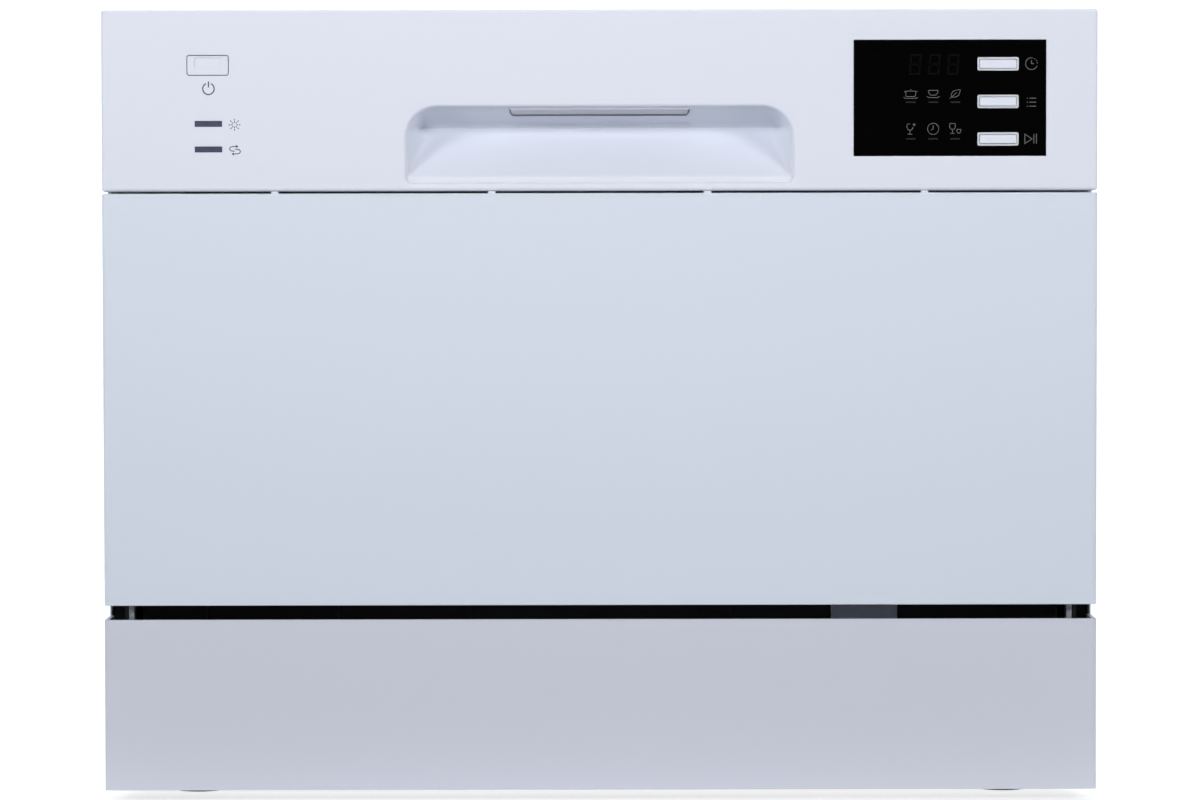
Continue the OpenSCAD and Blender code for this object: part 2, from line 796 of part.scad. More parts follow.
module rubber_feet() color(rubber) both_sides()
    for (y = [front_y + 58, tray_rear_y - 40]) rod_z(foot_r, 0, tray_z, half_w - 48, y);

module cabinet_screws() color(steel) both_sides() {
    for (z = [recess_top_z + 30, 250, cover_z - 20])
        rod_y(screw_r, rear_y, rear_y + screw_head, half_w - 12, z);
    for (x = [90, 240]) rod_y(screw_r, rear_y, rear_y + screw_head, x, cover_z + 10);
}

// Side view of the handle recess, grown outwards by o
module recess_side(o) {
    polygon([
        [front_y - 1, ceiling_z + 0.4 + o], [front_y + recess_d + o, deep_z + o],
        [front_y + recess_d + o, deep_z - 0.4 * o], [front_y + recess_d - band_in + o,
        deep_z - band_fall - 0.4 * o], [front_y + lip_in + 6 + o, recess_z + 4 - o],
        [front_y + lip_in, recess_z - o], [front_y - 1, recess_z - o],
    ]);
}

// Front view of the handle recess, grown outwards by o
module recess_front(o) {
    half = recess_w / 2 + o;
    outline(-half, half, ceiling_z - recess_r * 2 - 2, ceiling_z + o, recess_r);
    outline(-half, half, recess_z - o, ceiling_z - recess_r, 3);
}

module recess_solid(o) {
    intersection() {
        along_x(-recess_w, recess_w) recess_side(o);
        along_y(o > 0 ? front_y + edge_r : front_y - 2, front_y + recess_d + o + 1) recess_front(o);
    }
}

module control_panel() color(white) {
    difference() {
        union() {
            difference() {
                intersection() {
                    along_y(front_y, shell_y)
                        outline(-half_w, half_w, panel_z, body_h, edge_r);
                    along_x(-half_w, half_w)
                        outline(front_y, shell_y + 5, panel_z - 5, body_h, edge_r);
                }
                slab(-half_w + mould_t, half_w - mould_t, front_y + mould_t, shell_y + 1,
                    panel_z + mould_t, body_h - mould_t);
                slab(-half_w + mould_t, half_w - mould_t, front_y + shell_d / 2, shell_y + 1,
                    panel_z - 1, panel_z + mould_t + 1);
            }
            recess_solid(mould_t);
            // Bosses behind the two control boards
            for (x = [window_x - window_w / 2 - 3, window_x + window_w / 2 + 3, power_x - 18,
                power_x + 18], z = [panel_z + 15, body_h - 14])
                rod_y(2.5, front_y + mould_t - 0.5, board_y, x, z);
            both_sides() slab(flange_x - 8, flange_x - 8 + mould_t, front_y + mould_t, liner_y,
                panel_z + 10, flange_top_z - 5);
        }
        recess_solid(0);
        slab(-pad_w / 2 - free_gap, pad_w / 2 + free_gap, front_y + mould_t, pad_y1 + free_gap,
            ceiling_at(pad_y1) - 2, ceiling_z + 8);
        slab(window_x - window_w / 2, window_x + window_w / 2, front_y - 1,
            front_y + mould_t + 1, window_z - window_h / 2, window_z + window_h / 2);
        slab(power_x - power_w / 2 - free_gap, power_x + power_w / 2 + free_gap, front_y - 1,
            front_y + mould_t + 1, power_z - power_h / 2 - free_gap,
            power_z + power_h / 2 + free_gap);
        for (z = lens_z) slab(lens_x - lens_w / 2, lens_x + lens_w / 2, front_y - 1,
            front_y + mould_t + 1, z - lens_h / 2, z + lens_h / 2);
    }
    // Four tabs that hook into the door sheet
    both_sides() for (x = [59.6, 179.5])
        slab(x - 2, x + 2, front_y + 0.6, front_y + 3, door_top_z, panel_z + 1);
}

// Side view of the door shell, its lower rear corner cut round the hinge
module door_side(inset) {
    intersection() {
        translate([front_y + inset, door_low_z + inset])
            square([shell_d - inset + (inset > 0 ? 1 : 0), door_top_z - door_low_z - 2 * inset]);
        union() {
            translate([hinge_y, hinge_z]) circle(hinge_in);
            translate([front_y, hinge_z]) square([shell_d + 2, body_h]);
            translate([front_y, door_low_z - 1]) square([hinge_in, body_h]);
        }
    }
}

module outer_door() color(door_white) {
    difference() {
        intersection() {
            along_x(-half_w, half_w) door_side(0);
            along_z(door_low_z - 1, door_top_z + 1)
                outline(-half_w, half_w, front_y, shell_y + 5, edge_r);
        }
        slab(-inner_x, inner_x, front_y + sheet_t, shell_y + 1, door_low_z + sheet_t,
            door_top_z - sheet_t);
        // Open back, and slots beside the hinges in the lower flange
        slab(-inner_x, inner_x, hinge_y, shell_y + 1, door_low_z - 1, door_top_z + 1);
        both_sides() slab(arm_x - 5, inner_x, front_y + sheet_t, shell_y, door_low_z - 1,
            hinge_z);
    }
    both_sides() slab(flange_x, inner_x, liner_y - sheet_t, liner_y, hinge_zone_z + 2,
        door_top_z - sheet_t - 2);
}

module inner_door() color(steel) {
    difference() {
        union() {
            slab(-half_w + 3, half_w - 3, liner_y, liner_y + sheet_t, hinge_zone_z,
                flange_top_z);
            slab(-arm_x + 4, arm_x - 4, liner_y, liner_y + sheet_t, hinge_z + 4, hinge_zone_z);
            along_y(liner_y, pan_y) outline(-pan_x, pan_x, pan_z, pan_top_z, pan_r);
        }
        along_y(liner_y - 1, pan_y - sheet_t)
            outline(-pan_x + sheet_t, pan_x - sheet_t, pan_z + sheet_t, pan_top_z - sheet_t,
                pan_r - sheet_t);
        slab(-disp_x, disp_x, pan_y - 5, pan_y + 5, disp_z0, disp_z1);
        slab(-slot_w / 2, slot_w / 2, liner_y - 1, liner_y + sheet_t + 1, pan_top_z + 5,
            flange_top_z - 2);
    }
}

module key_place(i) translate([key_x, 0, key_z - i * key_pitch]) children();

module display_window() color("#050505") {
    difference() {
        slab(window_x - window_w / 2 + window_fit, window_x + window_w / 2 - window_fit, front_y,
            front_y + mould_t, window_z - window_h / 2 + window_fit,
            window_z + window_h / 2 - window_fit);
        for (i = [0 : 2]) key_place(i)
            slab(-key_w / 2, key_w / 2, front_y - 1, front_y + mould_t + 1, -key_h / 2, key_h / 2);
    }
    // Tongues that hold the window in the panel
    for (s = [-1, 1]) slab(window_x - 20, window_x + 20, front_y + mould_t,
        front_y + mould_t + 1.5, window_z + s * (window_h / 2 + 1) - 2,
        window_z + s * (window_h / 2 + 1) + 2);
}

module button_bezels() color(chrome) for (i = [0 : 2]) key_place(i) along_y(front_y, front_y + 3.5)
    difference() {
        outline(-key_w / 2, key_w / 2, -key_h / 2, key_h / 2, 1.2);
        outline(-key_w / 2 + key_rim, key_w / 2 - key_rim, -key_h / 2 + key_rim,
            key_h / 2 - key_rim, 0.7);
    }

module soft_button(i) color(white) key_place(i) {
    cap_w = key_w / 2 - key_rim - key_side_gap;
    cap_h = key_h / 2 - key_rim - key_side_gap;
    along_y(front_y, front_y + 5.5) outline(-cap_w, cap_w, -cap_h, cap_h, 0.6);
    slab(-key_w / 2 + 1, key_w / 2 - 1, front_y + 3.5 + free_gap, front_y + 5.5, -key_h / 2,
        key_h / 2);
}

module delay_button() soft_button(0);

module program_button() soft_button(1);

module start_button() soft_button(2);

module power_button() color(white) {
    difference() {
        along_y(front_y, front_y + 5) outline(power_x - power_w / 2, power_x + power_w / 2,
            power_z - power_h / 2, power_z + power_h / 2, 1);
        // Scooped finger place
        along_y(front_y - 1, front_y + 0.7)
            outline(power_x - 7.5, power_x + 7.5, power_z - 1.6, power_z + 4.2, 1.2);
    }
    slab(power_x - power_w / 2 - 2, power_x + power_w / 2 + 2, front_y + mould_t + free_gap,
        front_y + 5, power_z - power_h / 2 - 2, power_z + power_h / 2 + 2);
}

module control_boards() color(green) {
    x0 = window_x - window_w / 2 - 6;
    x1 = window_x + window_w / 2 + 6;
    slab(x0, x1, board_y, board_y + board_t, panel_z + 8, body_h - 8);
    slab(power_x - 22, power_x + 22, board_y, board_y + board_t, panel_z + 8, body_h - 8);
    // Digit display, button switches and power switch
    slab(window_x - 22.1, window_x + 6.6, front_y + mould_t + free_gap, board_y,
        window_z + 12, window_z + 23.2);
    for (i = [0 : 2]) key_place(i)
        slab(-3, 3, front_y + 5.5 + key_travel + 0.1, board_y, -3, 3);
    slab(power_x - 6, power_x + 6, front_y + 5 + power_travel + 0.1, board_y, power_z - 5,
        power_z + 5);
}

module indicator_lenses() color(blue_grey) for (z = lens_z)
    slab(lens_x - lens_w / 2, lens_x + lens_w / 2, front_y, board_y, z - lens_h / 2,
        z + lens_h / 2);

module latch_housing() color(dark) {
    ear_x = pad_w / 2 + 1;
    both_sides() {
        along_x(ear_x, ear_x + 4) difference() {
            union() {
                translate([pivot_y, pivot_z]) circle(latch_pin_r + 4);
                translate([pivot_y - 3, pivot_z]) square([pan_y - sheet_t - pivot_y + 3, 14]);
            }
            translate([pivot_y, pivot_z]) circle(latch_pin_r + run_gap);
        }
    }
    slab(-ear_x - 4, ear_x + 4, pivot_y - 3, pan_y - sheet_t, pivot_z + 11, pivot_z + 14);
}

module latch_lever() color("#888a99") {
    // Finger pad, flush with the recess ceiling, with round inner corners
    intersection() {
        along_x(-pad_w / 2, pad_w / 2) polygon([
            [pad_y0, ceiling_at(pad_y0)], [pad_y1, ceiling_at(pad_y1)],
            [pad_y1, pivot_z + 1], [pad_y0, pivot_z + 1],
        ]);
        along_z(ceiling_z - ceiling_fall, pivot_z + 2) {
            outline(-pad_w / 2, pad_w / 2, pad_y0, pad_y1, pad_r);
            outline(-pad_w / 2, pad_w / 2, pad_y0, pad_y1 - pad_r - 1);
        }
    }
    // Arm to the pivot
    along_x(-pad_w / 2, pad_w / 2) {
        translate([pad_y0, pivot_z - 2]) square([pivot_y - pad_y0, 3]);
        translate([pivot_y, pivot_z]) circle(latch_pin_r + 1);
    }
    rod_x(latch_pin_r, -pad_w / 2 - 5, pad_w / 2 + 5, pivot_y, pivot_z);
    // Arm and hook
    slab(-hook_w / 2, hook_w / 2, front_y + 7, front_y + 10.5, pivot_z, hook_z + hook_h);
    slab(-hook_w / 2, hook_w / 2, front_y + 7, bar_y + 6, hook_z, hook_z + hook_h);
}

module door_arms() color(steel) both_sides() {
    difference() {
        union() {
            along_x(arm_x, arm_x + arm_t) {
                translate([hinge_y, hinge_z]) circle(ear_r);
                translate([hinge_y - 6, hinge_z]) square([12, door_arm_len]);
                translate([hinge_y - 5, tail_z]) square([10, hinge_z - tail_z]);
                translate([hinge_y, tail_z]) circle(5);
            }
            slab(arm_x - door_arm_flange, arm_x + arm_t, liner_y - 3, liner_y, hinge_zone_z,
                hinge_z + door_arm_len);
        }
        rod_x(hinge_pin_r + run_gap, arm_x - 1, arm_x + arm_t + 1, hinge_y, hinge_z);
        rod_x(2, arm_x - 1, arm_x + arm_t + 1, hinge_y, tail_z);
    }
}

module dispenser_body() color(pale) {
    face_y = pan_y + disp_face;
    difference() {
        union() {
            slab(-disp_x - disp_flange, disp_x + disp_flange, pan_y, face_y,
                disp_z0 - disp_flange, disp_z1 + disp_flange);
            slab(-disp_x, disp_x, pan_y - 25, pan_y, disp_z0, disp_z1);
        }
        slab(cup_x0, cup_x1, pan_y - 23, face_y + 1, cup_z0, cup_z1);
        rod_y(rinse_r + free_gap, pan_y - 5, face_y + 1, rinse_x, rinse_z);
        rod_y(rinse_neck_r + free_gap, pan_y - 16, face_y, rinse_x, rinse_z);
    }
    // Guides above and below the sliding lid
    for (z = [cup_z0 - lid_over - free_gap - 2, cup_z1 + lid_over + free_gap])
        slab(cup_x0 - 8, disp_x, face_y, face_y + lid_t + free_gap, z, z + 2);
}

module dispenser_lid() color("#c4c7cf") {
    lid_y = pan_y + disp_face + free_gap;
    slab(cup_x0 - lid_over, cup_x1 + lid_over, lid_y, lid_y + lid_t - free_gap,
        cup_z0 - lid_over, cup_z1 + lid_over);
}

module rinse_cap() color(grey) {
    difference() {
        union() {
            rod_y(rinse_r, pan_y - 4.5, pan_y + 1, rinse_x, rinse_z);
            rod_y(rinse_neck_r, pan_y - 14, pan_y - 4, rinse_x, rinse_z);
        }
        for (s = [-1, 1]) slab(rinse_x - 10, rinse_x + 10, pan_y - 2, pan_y + 2,
            rinse_z + s * 5 - 3, rinse_z + s * 5 + 3);
    }
}

module door_screws() color(steel) both_sides() for (z = [180, 260, 320, flange_top_z - 12])
    rod_y(screw_r, liner_y + sheet_t, liner_y + sheet_t + screw_head, flange_x + 4, z);

module basket_floor() color(dark) {
    for (i = [0 : fields_x]) wire_y(basket_y0, basket_y1, -basket_x + i * field_x,
        floor_z + wire_rise);
    for (j = [0 : fields_y]) wire_x(-basket_x, basket_x, basket_y0 + wire_r + j * cross_step,
        floor_z);
    // Brackets and stub axles of the wheels
    both_sides() for (y = wheel_y) {
        slab(basket_x - 10, basket_x - 5, y - 5, y + 5, wheel_z - 5, floor_z + wire_r);
        rod_x(stub_r, basket_x - 6, wheel_x0 + wheel_w + 1, y, wheel_z);
        rod_x(stub_r + 1, basket_x - 6, wheel_x0 - free_gap, y, wheel_z);
        rod_x(stub_r + 1, wheel_x0 + wheel_w + free_gap, wheel_x0 + wheel_w + 1.3, y, wheel_z);
    }
}

module basket_walls() color(dark) {
    for (y = [basket_y0 + wire_r, basket_y1 - wire_r]) {
        for (z = wall_levels) wire_x(-basket_x - wire_r, basket_x + wire_r, y, z);
        for (i = [0 : fields_x]) wire_z(wall_z, rim_z, -basket_x + i * field_x, y);
    }
    both_sides() {
        for (z = wall_levels) wire_y(basket_y0 + 3 * wire_r, basket_y1 - 3 * wire_r, basket_x, z);
        for (j = [1 : fields_y - 1]) wire_z(wall_z, rim_z, basket_x, basket_y0 + j * field_y);
    }
}

module plate_tines() color(dark) {
    for (k = [-3.5, -2.5, -0.5, 0.5]) {
        x = k * field_x;
        z = floor_z + 2 * wire_r;
        wire_y(basket_y0 + 20, basket_y1 - 20, x, z);
        for (y = [basket_y0 + 35 : tine_step : basket_y1 - 35]) wire_z(z, z + tine_h, x, y);
    }
}

module cutlery_basket() color(grey) {
    top_z = cutlery_z + cutlery_h;
    cell_x = (cutlery_x1 - cutlery_x0 - cutlery_t) / 2;
    cell_y = (cutlery_y1 - cutlery_y0 - cutlery_t) / 3;
    difference() {
        slab(cutlery_x0, cutlery_x1, cutlery_y0, cutlery_y1, cutlery_z, top_z);
        for (i = [0, 1], j = [0 : 2])
            slab(cutlery_x0 + cutlery_t + i * cell_x, cutlery_x0 + (i + 1) * cell_x,
                cutlery_y0 + cutlery_t + j * cell_y, cutlery_y0 + (j + 1) * cell_y,
                cutlery_z + cutlery_t, top_z + 1);
        // Slots in the four walls
        for (i = [0, 1], k = [0 : 2])
            translate([cutlery_x0 + cutlery_t + i * cell_x + 7 + k * cell_slot_step, cutlery_y0 - 1,
                cutlery_z + cell_slot_sill]) cube([cell_slot_w, cutlery_len + 2, cell_slot_h]);
        for (j = [0 : 2], k = [0 : 2])
            translate([cutlery_x0 - 1, cutlery_y0 + cutlery_t + j * cell_y + 5 + k * cell_slot_step,
                cutlery_z + cell_slot_sill]) cube([cutlery_w + 2, cell_slot_w, cell_slot_h]);
    }
}

module cup_shelf() color(dark) {
    ends = [basket_y0 + 2.5 * field_y, basket_y0 + 8.5 * field_y];
    for (y = [ends[0], ends[0] + 2 * field_y, ends[1] - 2 * field_y, ends[1]])
        wire_x(-basket_x + 3, -basket_x + shelf_w, y, shelf_z);
    for (x = [shelf_w / 4 : shelf_w / 4 : shelf_w])
        wire_y(ends[0] - 5, ends[1] + 5, -basket_x + x, shelf_z - wire_rise);
    for (y = ends) difference() {
        rod_y(4.5, y - 5, y + 5, -basket_x, shelf_z);
        rod_y(wire_r / cos(22.5) + free_gap, y - 6, y + 6, -basket_x, shelf_z);
    }
}

module wheel(side, row) color(pale) {
    y = wheel_y[row];
    x0 = side > 0 ? wheel_x0 : -wheel_x0 - wheel_w;
    difference() {
        rod_x(wheel_r, x0, x0 + wheel_w, y, wheel_z);
        rod_x(stub_r + run_gap, x0 - 1, x0 + wheel_w + 1, y, wheel_z);
    }
}

module front_left_wheel() wheel(-1, 0);

module front_right_wheel() wheel(1, 0);

module rear_left_wheel() wheel(-1, 1);

module rear_right_wheel() wheel(1, 1);

module leak_float() color("#d8d4c8") {
    difference() {
        rod_z(float_r, tray_floor_z + free_gap, tray_floor_z + 22, float_x, float_y);
        rod_z(float_pin_r + free_gap, tray_floor_z - 1, tray_floor_z + 30, float_x, float_y);
    }
}

base_tray();
left_side_panel();
right_side_panel();
top_cover();
rear_panel();
plinth();
tub();
tub_felt();
door_gasket();
basket_rails();
sump();
filter_plate();
inner_pipe();
wash_pump();
drain_pump();
heater();
water_softener();
air_breather();
inlet_valve();
drain_hose();
drain_spigot();
cord_gland();
strike();
hinge_brackets();
door_springs();
loom_guard();
rubber_feet();
cabinet_screws();
pump_rotor();
spray_arm();
filter_cup();
salt_cap();
leak_float();
control_panel();
outer_door();
inner_door();
display_window();
control_boards();
indicator_lenses();
button_bezels();
latch_housing();
door_arms();
dispenser_body();
door_screws();
power_button();
delay_button();
program_button();
start_button();
latch_lever();
dispenser_lid();
rinse_cap();
basket_floor();
basket_walls();
plate_tines();
cutlery_basket();
cup_shelf();
front_left_wheel();
front_right_wheel();
rear_left_wheel();
rear_right_wheel();
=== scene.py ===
import json
import math
import bmesh
import bpy
from mathutils import Matrix, Vector, geometry


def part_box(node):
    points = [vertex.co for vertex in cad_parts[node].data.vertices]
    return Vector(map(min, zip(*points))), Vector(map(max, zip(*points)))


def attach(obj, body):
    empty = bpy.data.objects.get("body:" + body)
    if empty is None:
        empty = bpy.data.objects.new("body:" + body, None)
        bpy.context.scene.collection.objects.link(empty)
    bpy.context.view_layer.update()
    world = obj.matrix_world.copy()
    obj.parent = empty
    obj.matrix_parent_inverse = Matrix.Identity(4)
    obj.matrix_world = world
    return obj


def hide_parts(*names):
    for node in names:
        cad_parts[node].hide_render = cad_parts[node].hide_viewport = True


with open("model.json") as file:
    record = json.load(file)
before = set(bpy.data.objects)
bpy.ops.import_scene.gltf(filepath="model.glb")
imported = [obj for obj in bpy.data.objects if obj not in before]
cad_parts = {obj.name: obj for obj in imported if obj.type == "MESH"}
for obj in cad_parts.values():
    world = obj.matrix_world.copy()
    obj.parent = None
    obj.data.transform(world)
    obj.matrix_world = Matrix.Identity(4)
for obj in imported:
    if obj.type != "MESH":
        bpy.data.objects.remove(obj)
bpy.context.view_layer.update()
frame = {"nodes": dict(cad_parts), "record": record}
nodes = frame["nodes"]
mm = 0.001
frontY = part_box("outer_door")[0].y  # the door's face, metres
frontMm = frontY / mm

cameraLook = {
    "distance": 2.498,  # from the door's face
    "height": 0.316,
    "side": 0.0,
    "pitch": -2.146,  # degrees, looking slightly down
    "roll": -0.1,
    "lens": 135.6,  # on a 36 mm wide sensor
}


def makeCamera():
    data = bpy.data.cameras.new("camera")
    data.lens = cameraLook["lens"]
    data.sensor_width = 36
    data.clip_end = 60
    cam = bpy.data.objects.new("camera", data)
    cam.location = (cameraLook["side"], frontY - cameraLook["distance"], cameraLook["height"])
    turn = Matrix.Rotation(math.radians(90 + cameraLook["pitch"]), 4, "X")
    cam.rotation_euler = (turn @ Matrix.Rotation(math.radians(cameraLook["roll"]), 4, "Z")).to_euler()
    bpy.context.scene.collection.objects.link(cam)
    bpy.context.scene.camera = cam


makeCamera()
print("camera made")


def linear(code):
    # sRGB hex to the linear colour that a shader takes
    parts = [int(code[i:i + 2], 16) / 255 for i in (1, 3, 5)]
    return tuple(c / 12.92 if c <= 0.04045 else ((c + 0.055) / 1.055) ** 2.4 for c in parts) + (1.0,)


def addNode(tree, kind, settings=None, links=None):
    # adds one shader node; settings go to its inputs or its own fields, links come from sockets
    node = tree.nodes.new(kind)
    for key, value in (settings or {}).items():
        if key in node.inputs:
            node.inputs[key].default_value = value
        else:
            setattr(node, key, value)
    for key, socket in (links or {}).items():
        tree.links.new(socket, node.inputs[key])
    return node


def startMaterial(name, colour, roughness, metallic=0.0, **sockets):
    # a material with its even values set, and where its patterns are measured from
    mat = bpy.data.materials.new(name)
    mat.use_nodes = True
    tree = mat.node_tree
    shader = tree.nodes["Principled BSDF"]
    shader.inputs["Base Color"].default_value = linear(colour)
    shader.inputs["Roughness"].default_value = roughness
    shader.inputs["Metallic"].default_value = metallic
    for key, value in sockets.items():
        shader.inputs[key.replace("_", " ")].default_value = value
    where = addNode(tree, "ShaderNodeTexCoord").outputs["Object"]
    return mat, tree, shader, where


def tintBy(tree, shader, socket, dark, light):
    # colour that drifts between two close shades with a noise
    ramp = addNode(tree, "ShaderNodeValToRGB", links={"Fac": socket})
    ramp.color_ramp.elements[0].position = 0.3
    ramp.color_ramp.elements[1].position = 0.7
    ramp.color_ramp.elements[0].color = linear(dark)
    ramp.color_ramp.elements[1].color = linear(light)
    tree.links.new(ramp.outputs["Color"], shader.inputs["Base Color"])


def bumpBy(tree, shader, socket, height, strength):
    # relief of a pattern; height is in millimetres
    settings = {"Strength": strength, "Distance": height * mm}
    bump = addNode(tree, "ShaderNodeBump", settings, {"Height": socket})
    tree.links.new(bump.outputs["Normal"], shader.inputs["Normal"])


def roughBy(tree, shader, socket, low, high):
    span = addNode(tree, "ShaderNodeMapRange", {"To Min": low, "To Max": high}, {"Value": socket})
    tree.links.new(span.outputs["Result"], shader.inputs["Roughness"])


def noiseAt(tree, where, size, detail=3.0, stretch=None):
    # a noise whose features are about `size` millimetres; stretch lengthens them along an axis
    if stretch:
        squeeze = addNode(tree, "ShaderNodeMapping", {"Scale": [1 / s for s in stretch]}, {"Vector": where})
        where = squeeze.outputs["Vector"]
    settings = {"Scale": 1 / (size * mm), "Detail": detail}
    return addNode(tree, "ShaderNodeTexNoise", settings, {"Vector": where}).outputs["Fac"]


def mouldedAbs(name="mouldedAbs", colour="#dbe0ec", rough=0.34):
    # ABS moulded in a fine-eroded tool: clean white with a soft, even sheen
    mat, tree, shader, where = startMaterial(name, colour, rough, IOR=1.53)
    grain = noiseAt(tree, where, 0.9, 2)  # the real grain is 0.2 mm, drawn coarser to show
    bumpBy(tree, shader, grain, 0.02, 0.25)
    roughBy(tree, shader, noiseAt(tree, where, 25), rough - 0.04, rough + 0.05)
    return mat


def enamelledSteel():
    # enamel baked on sheet steel: smooth, with the faint waviness of sprayed paint
    mat, tree, shader, where = startMaterial("enamelledSteel", "#d5deea", 0.33, IOR=1.5,
                                             Coat_Weight=0.25, Coat_Roughness=0.12)
    bumpBy(tree, shader, noiseAt(tree, where, 3.5, 2), 0.02, 0.12)
    roughBy(tree, shader, noiseAt(tree, where, 160, 1), 0.31, 0.35)
    return mat


def blackAcrylic():
    # acrylic window backed with black print: mirror-smooth, nearly no colour
    mat, tree, shader, where = startMaterial("blackAcrylic", "#030303", 0.06, IOR=1.49,
                                             Specular_IOR_Level=0.12)
    roughBy(tree, shader, noiseAt(tree, where, 18), 0.05, 0.11)
    return mat


def rimWithPaintedShine():
    # satin chromium on plastic, a thin pale frame round each button; given pale colour and little metal,
    # which partly paints the highlights that the real curved rim catches
    mat, tree, shader, where = startMaterial("rimWithPaintedShine", "#dfe3ea", 0.3, 0.35)
    roughBy(tree, shader, noiseAt(tree, where, 2), 0.24, 0.36)
    return mat


def smokedLens():
    # blue-grey smoked polycarbonate over a light, with fine upright ribs on its back
    mat, tree, shader, where = startMaterial("smokedLens", "#434963", 0.22, IOR=1.58)
    ribs = addNode(tree, "ShaderNodeTexWave", {"bands_direction": "X", "Scale": 160.0}, {"Vector": where})
    bumpBy(tree, shader, ribs.outputs["Fac"], 0.05, 0.3)
    tintBy(tree, shader, noiseAt(tree, where, 5), "#3f455d", "#4a506b")
    return mat


def matteMoulding(name, dark, light, rough, grainSize=1.2, grainHeight=0.04):
    # eroded-tool moulding: matte skin with an even grain
    mat, tree, shader, where = startMaterial(name, light, rough, IOR=1.5)
    tintBy(tree, shader, noiseAt(tree, where, 30), dark, light)
    bumpBy(tree, shader, noiseAt(tree, where, grainSize, 2), grainHeight, 0.35)
    roughBy(tree, shader, noiseAt(tree, where, 12), rough - 0.06, rough + 0.06)
    return mat


def blackPolypropylene():
    # carbon-black filled PP of the base tray, dull and slightly grey where light grazes it
    return matteMoulding("blackPolypropylene", "#0e0f11", "#15171a", 0.55, 1.5)


def darkPolypropylene():
    # talc-filled grey PP of sump, filter and pumps
    return matteMoulding("darkPolypropylene", "#2a2d32", "#343840", 0.5)


def greyPolypropylene():
    # mid-grey PP of the spray arm and the cutlery basket
    return matteMoulding("greyPolypropylene", "#7d828a", "#8d929a", 0.48)


def palePolypropylene():
    # natural pale grey PP of dispenser, rails and wheels
    return matteMoulding("palePolypropylene", "#c2c6ce", "#ced2da", 0.42)


def loomPolyamide():
    # natural polyamide of the wire guard behind the door's foot, pale and matt
    return matteMoulding("loomPolyamide", "#cdd1e2", "#d6daea", 0.5)


def latchNylon():
    # glass-filled nylon of the latch lever, a shade greyer than the panel round it
    return matteMoulding("latchNylon", "#c9cad6", "#d1d2dd", 0.45)


def shadedPlinthAbs():
    # the panel's ABS on the plinth, painted greyer than the panel as the shade of its low place near the
    # floor, and more matt
    return mouldedAbs("shadedPlinthAbs", "#cdd0dd", 0.42)


def brushedStainless():
    # cold-rolled stainless sheet: fine parallel lines that draw the highlights out sideways
    mat, tree, shader, where = startMaterial("brushedStainless", "#b9bdc3", 0.28, 1.0)
    lines = noiseAt(tree, where, 0.7, 2, stretch=(60, 1, 1))
    tintBy(tree, shader, lines, "#b5b9bf", "#bdc1c7")
    bumpBy(tree, shader, lines, 0.006, 0.1)
    roughBy(tree, shader, lines, 0.27, 0.31)
    return mat


def zincPlatedSteel():
    # bright zinc on pressed steel: spangled, with a faint blue cast
    mat, tree, shader, where = startMaterial("zincPlatedSteel", "#a9adb3", 0.36, 1.0)
    flakes = addNode(tree, "ShaderNodeTexVoronoi", {"Scale": 1 / (3 * mm)}, {"Vector": where})
    tintBy(tree, shader, flakes.outputs["Color"], "#9a9ea6", "#b7bbc0")
    roughBy(tree, shader, noiseAt(tree, where, 4), 0.3, 0.45)
    return mat


def phosphatedSteel():
    # manganese phosphate on the hinge brackets: dark, dull, finely crystalline
    mat, tree, shader, where = startMaterial("phosphatedSteel", "#34353b", 0.6, 0.6)
    tintBy(tree, shader, noiseAt(tree, where, 6), "#2e2f35", "#3c3d44")
    bumpBy(tree, shader, noiseAt(tree, where, 0.8, 2), 0.02, 0.3)
    return mat


def nylonCoat():
    # nylon powder sintered on wire: thick, glossy, softly uneven
    mat, tree, shader, where = startMaterial("nylonCoat", "#5d6269", 0.3, IOR=1.53)
    tintBy(tree, shader, noiseAt(tree, where, 15), "#565b62", "#656a72")
    bumpBy(tree, shader, noiseAt(tree, where, 2.5, 2), 0.05, 0.25)
    return mat


def epdmRubber():
    # extruded EPDM: dull black-grey with a fine, uneven skin
    mat, tree, shader, where = startMaterial("epdmRubber", "#1c1d1f", 0.62, IOR=1.52)
    tintBy(tree, shader, noiseAt(tree, where, 8), "#191a1c", "#242528")
    bumpBy(tree, shader, noiseAt(tree, where, 0.9, 2), 0.05, 0.4)
    return mat


def needledFelt():
    # needled recycled-fibre felt: flecked grey-brown, no shine
    mat, tree, shader, where = startMaterial("needledFelt", "#6a665f", 0.95, IOR=1.45, Sheen_Weight=0.3)
    fibres = noiseAt(tree, where, 1.2, 6)
    tintBy(tree, shader, fibres, "#4d4a45", "#857f76")
    bumpBy(tree, shader, fibres, 0.4, 0.6)
    return mat


def lacqueredBoard():
    # green solder lacquer over copper tracks
    mat, tree, shader, where = startMaterial("lacqueredBoard", "#1f4a35", 0.3, IOR=1.5)
    settings = {"Scale": 1 / (9 * mm), "Mortar Size": 0.03}
    tracks = addNode(tree, "ShaderNodeTexBrick", settings, {"Vector": where})
    tintBy(tree, shader, tracks.outputs["Fac"], "#1b4230", "#2f6b4b")
    return mat


def castingPaint():
    # thin grey paint over an aluminium motor casing
    return matteMoulding("castingPaint", "#7f8287", "#8f9297", 0.4, 2.5, 0.08)


def foamBeads():
    # expanded polystyrene: white beads pressed together
    mat, tree, shader, where = startMaterial("foamBeads", "#e4e2da", 0.8, IOR=1.3)
    beads = addNode(tree, "ShaderNodeTexVoronoi", {"Scale": 1 / (3 * mm)}, {"Vector": where})
    bumpBy(tree, shader, beads.outputs["Distance"], 0.3, 0.6)
    return mat


def padPrint(name, colour, rough=0.5, shine=0.5):
    # a thin layer of pad-printed ink, slightly duller than what it lies on
    mat, tree, shader, where = startMaterial(name, colour, rough, IOR=1.5, Specular_IOR_Level=shine)
    roughBy(tree, shader, noiseAt(tree, where, 1.5), rough - 0.05, rough + 0.05)
    return mat


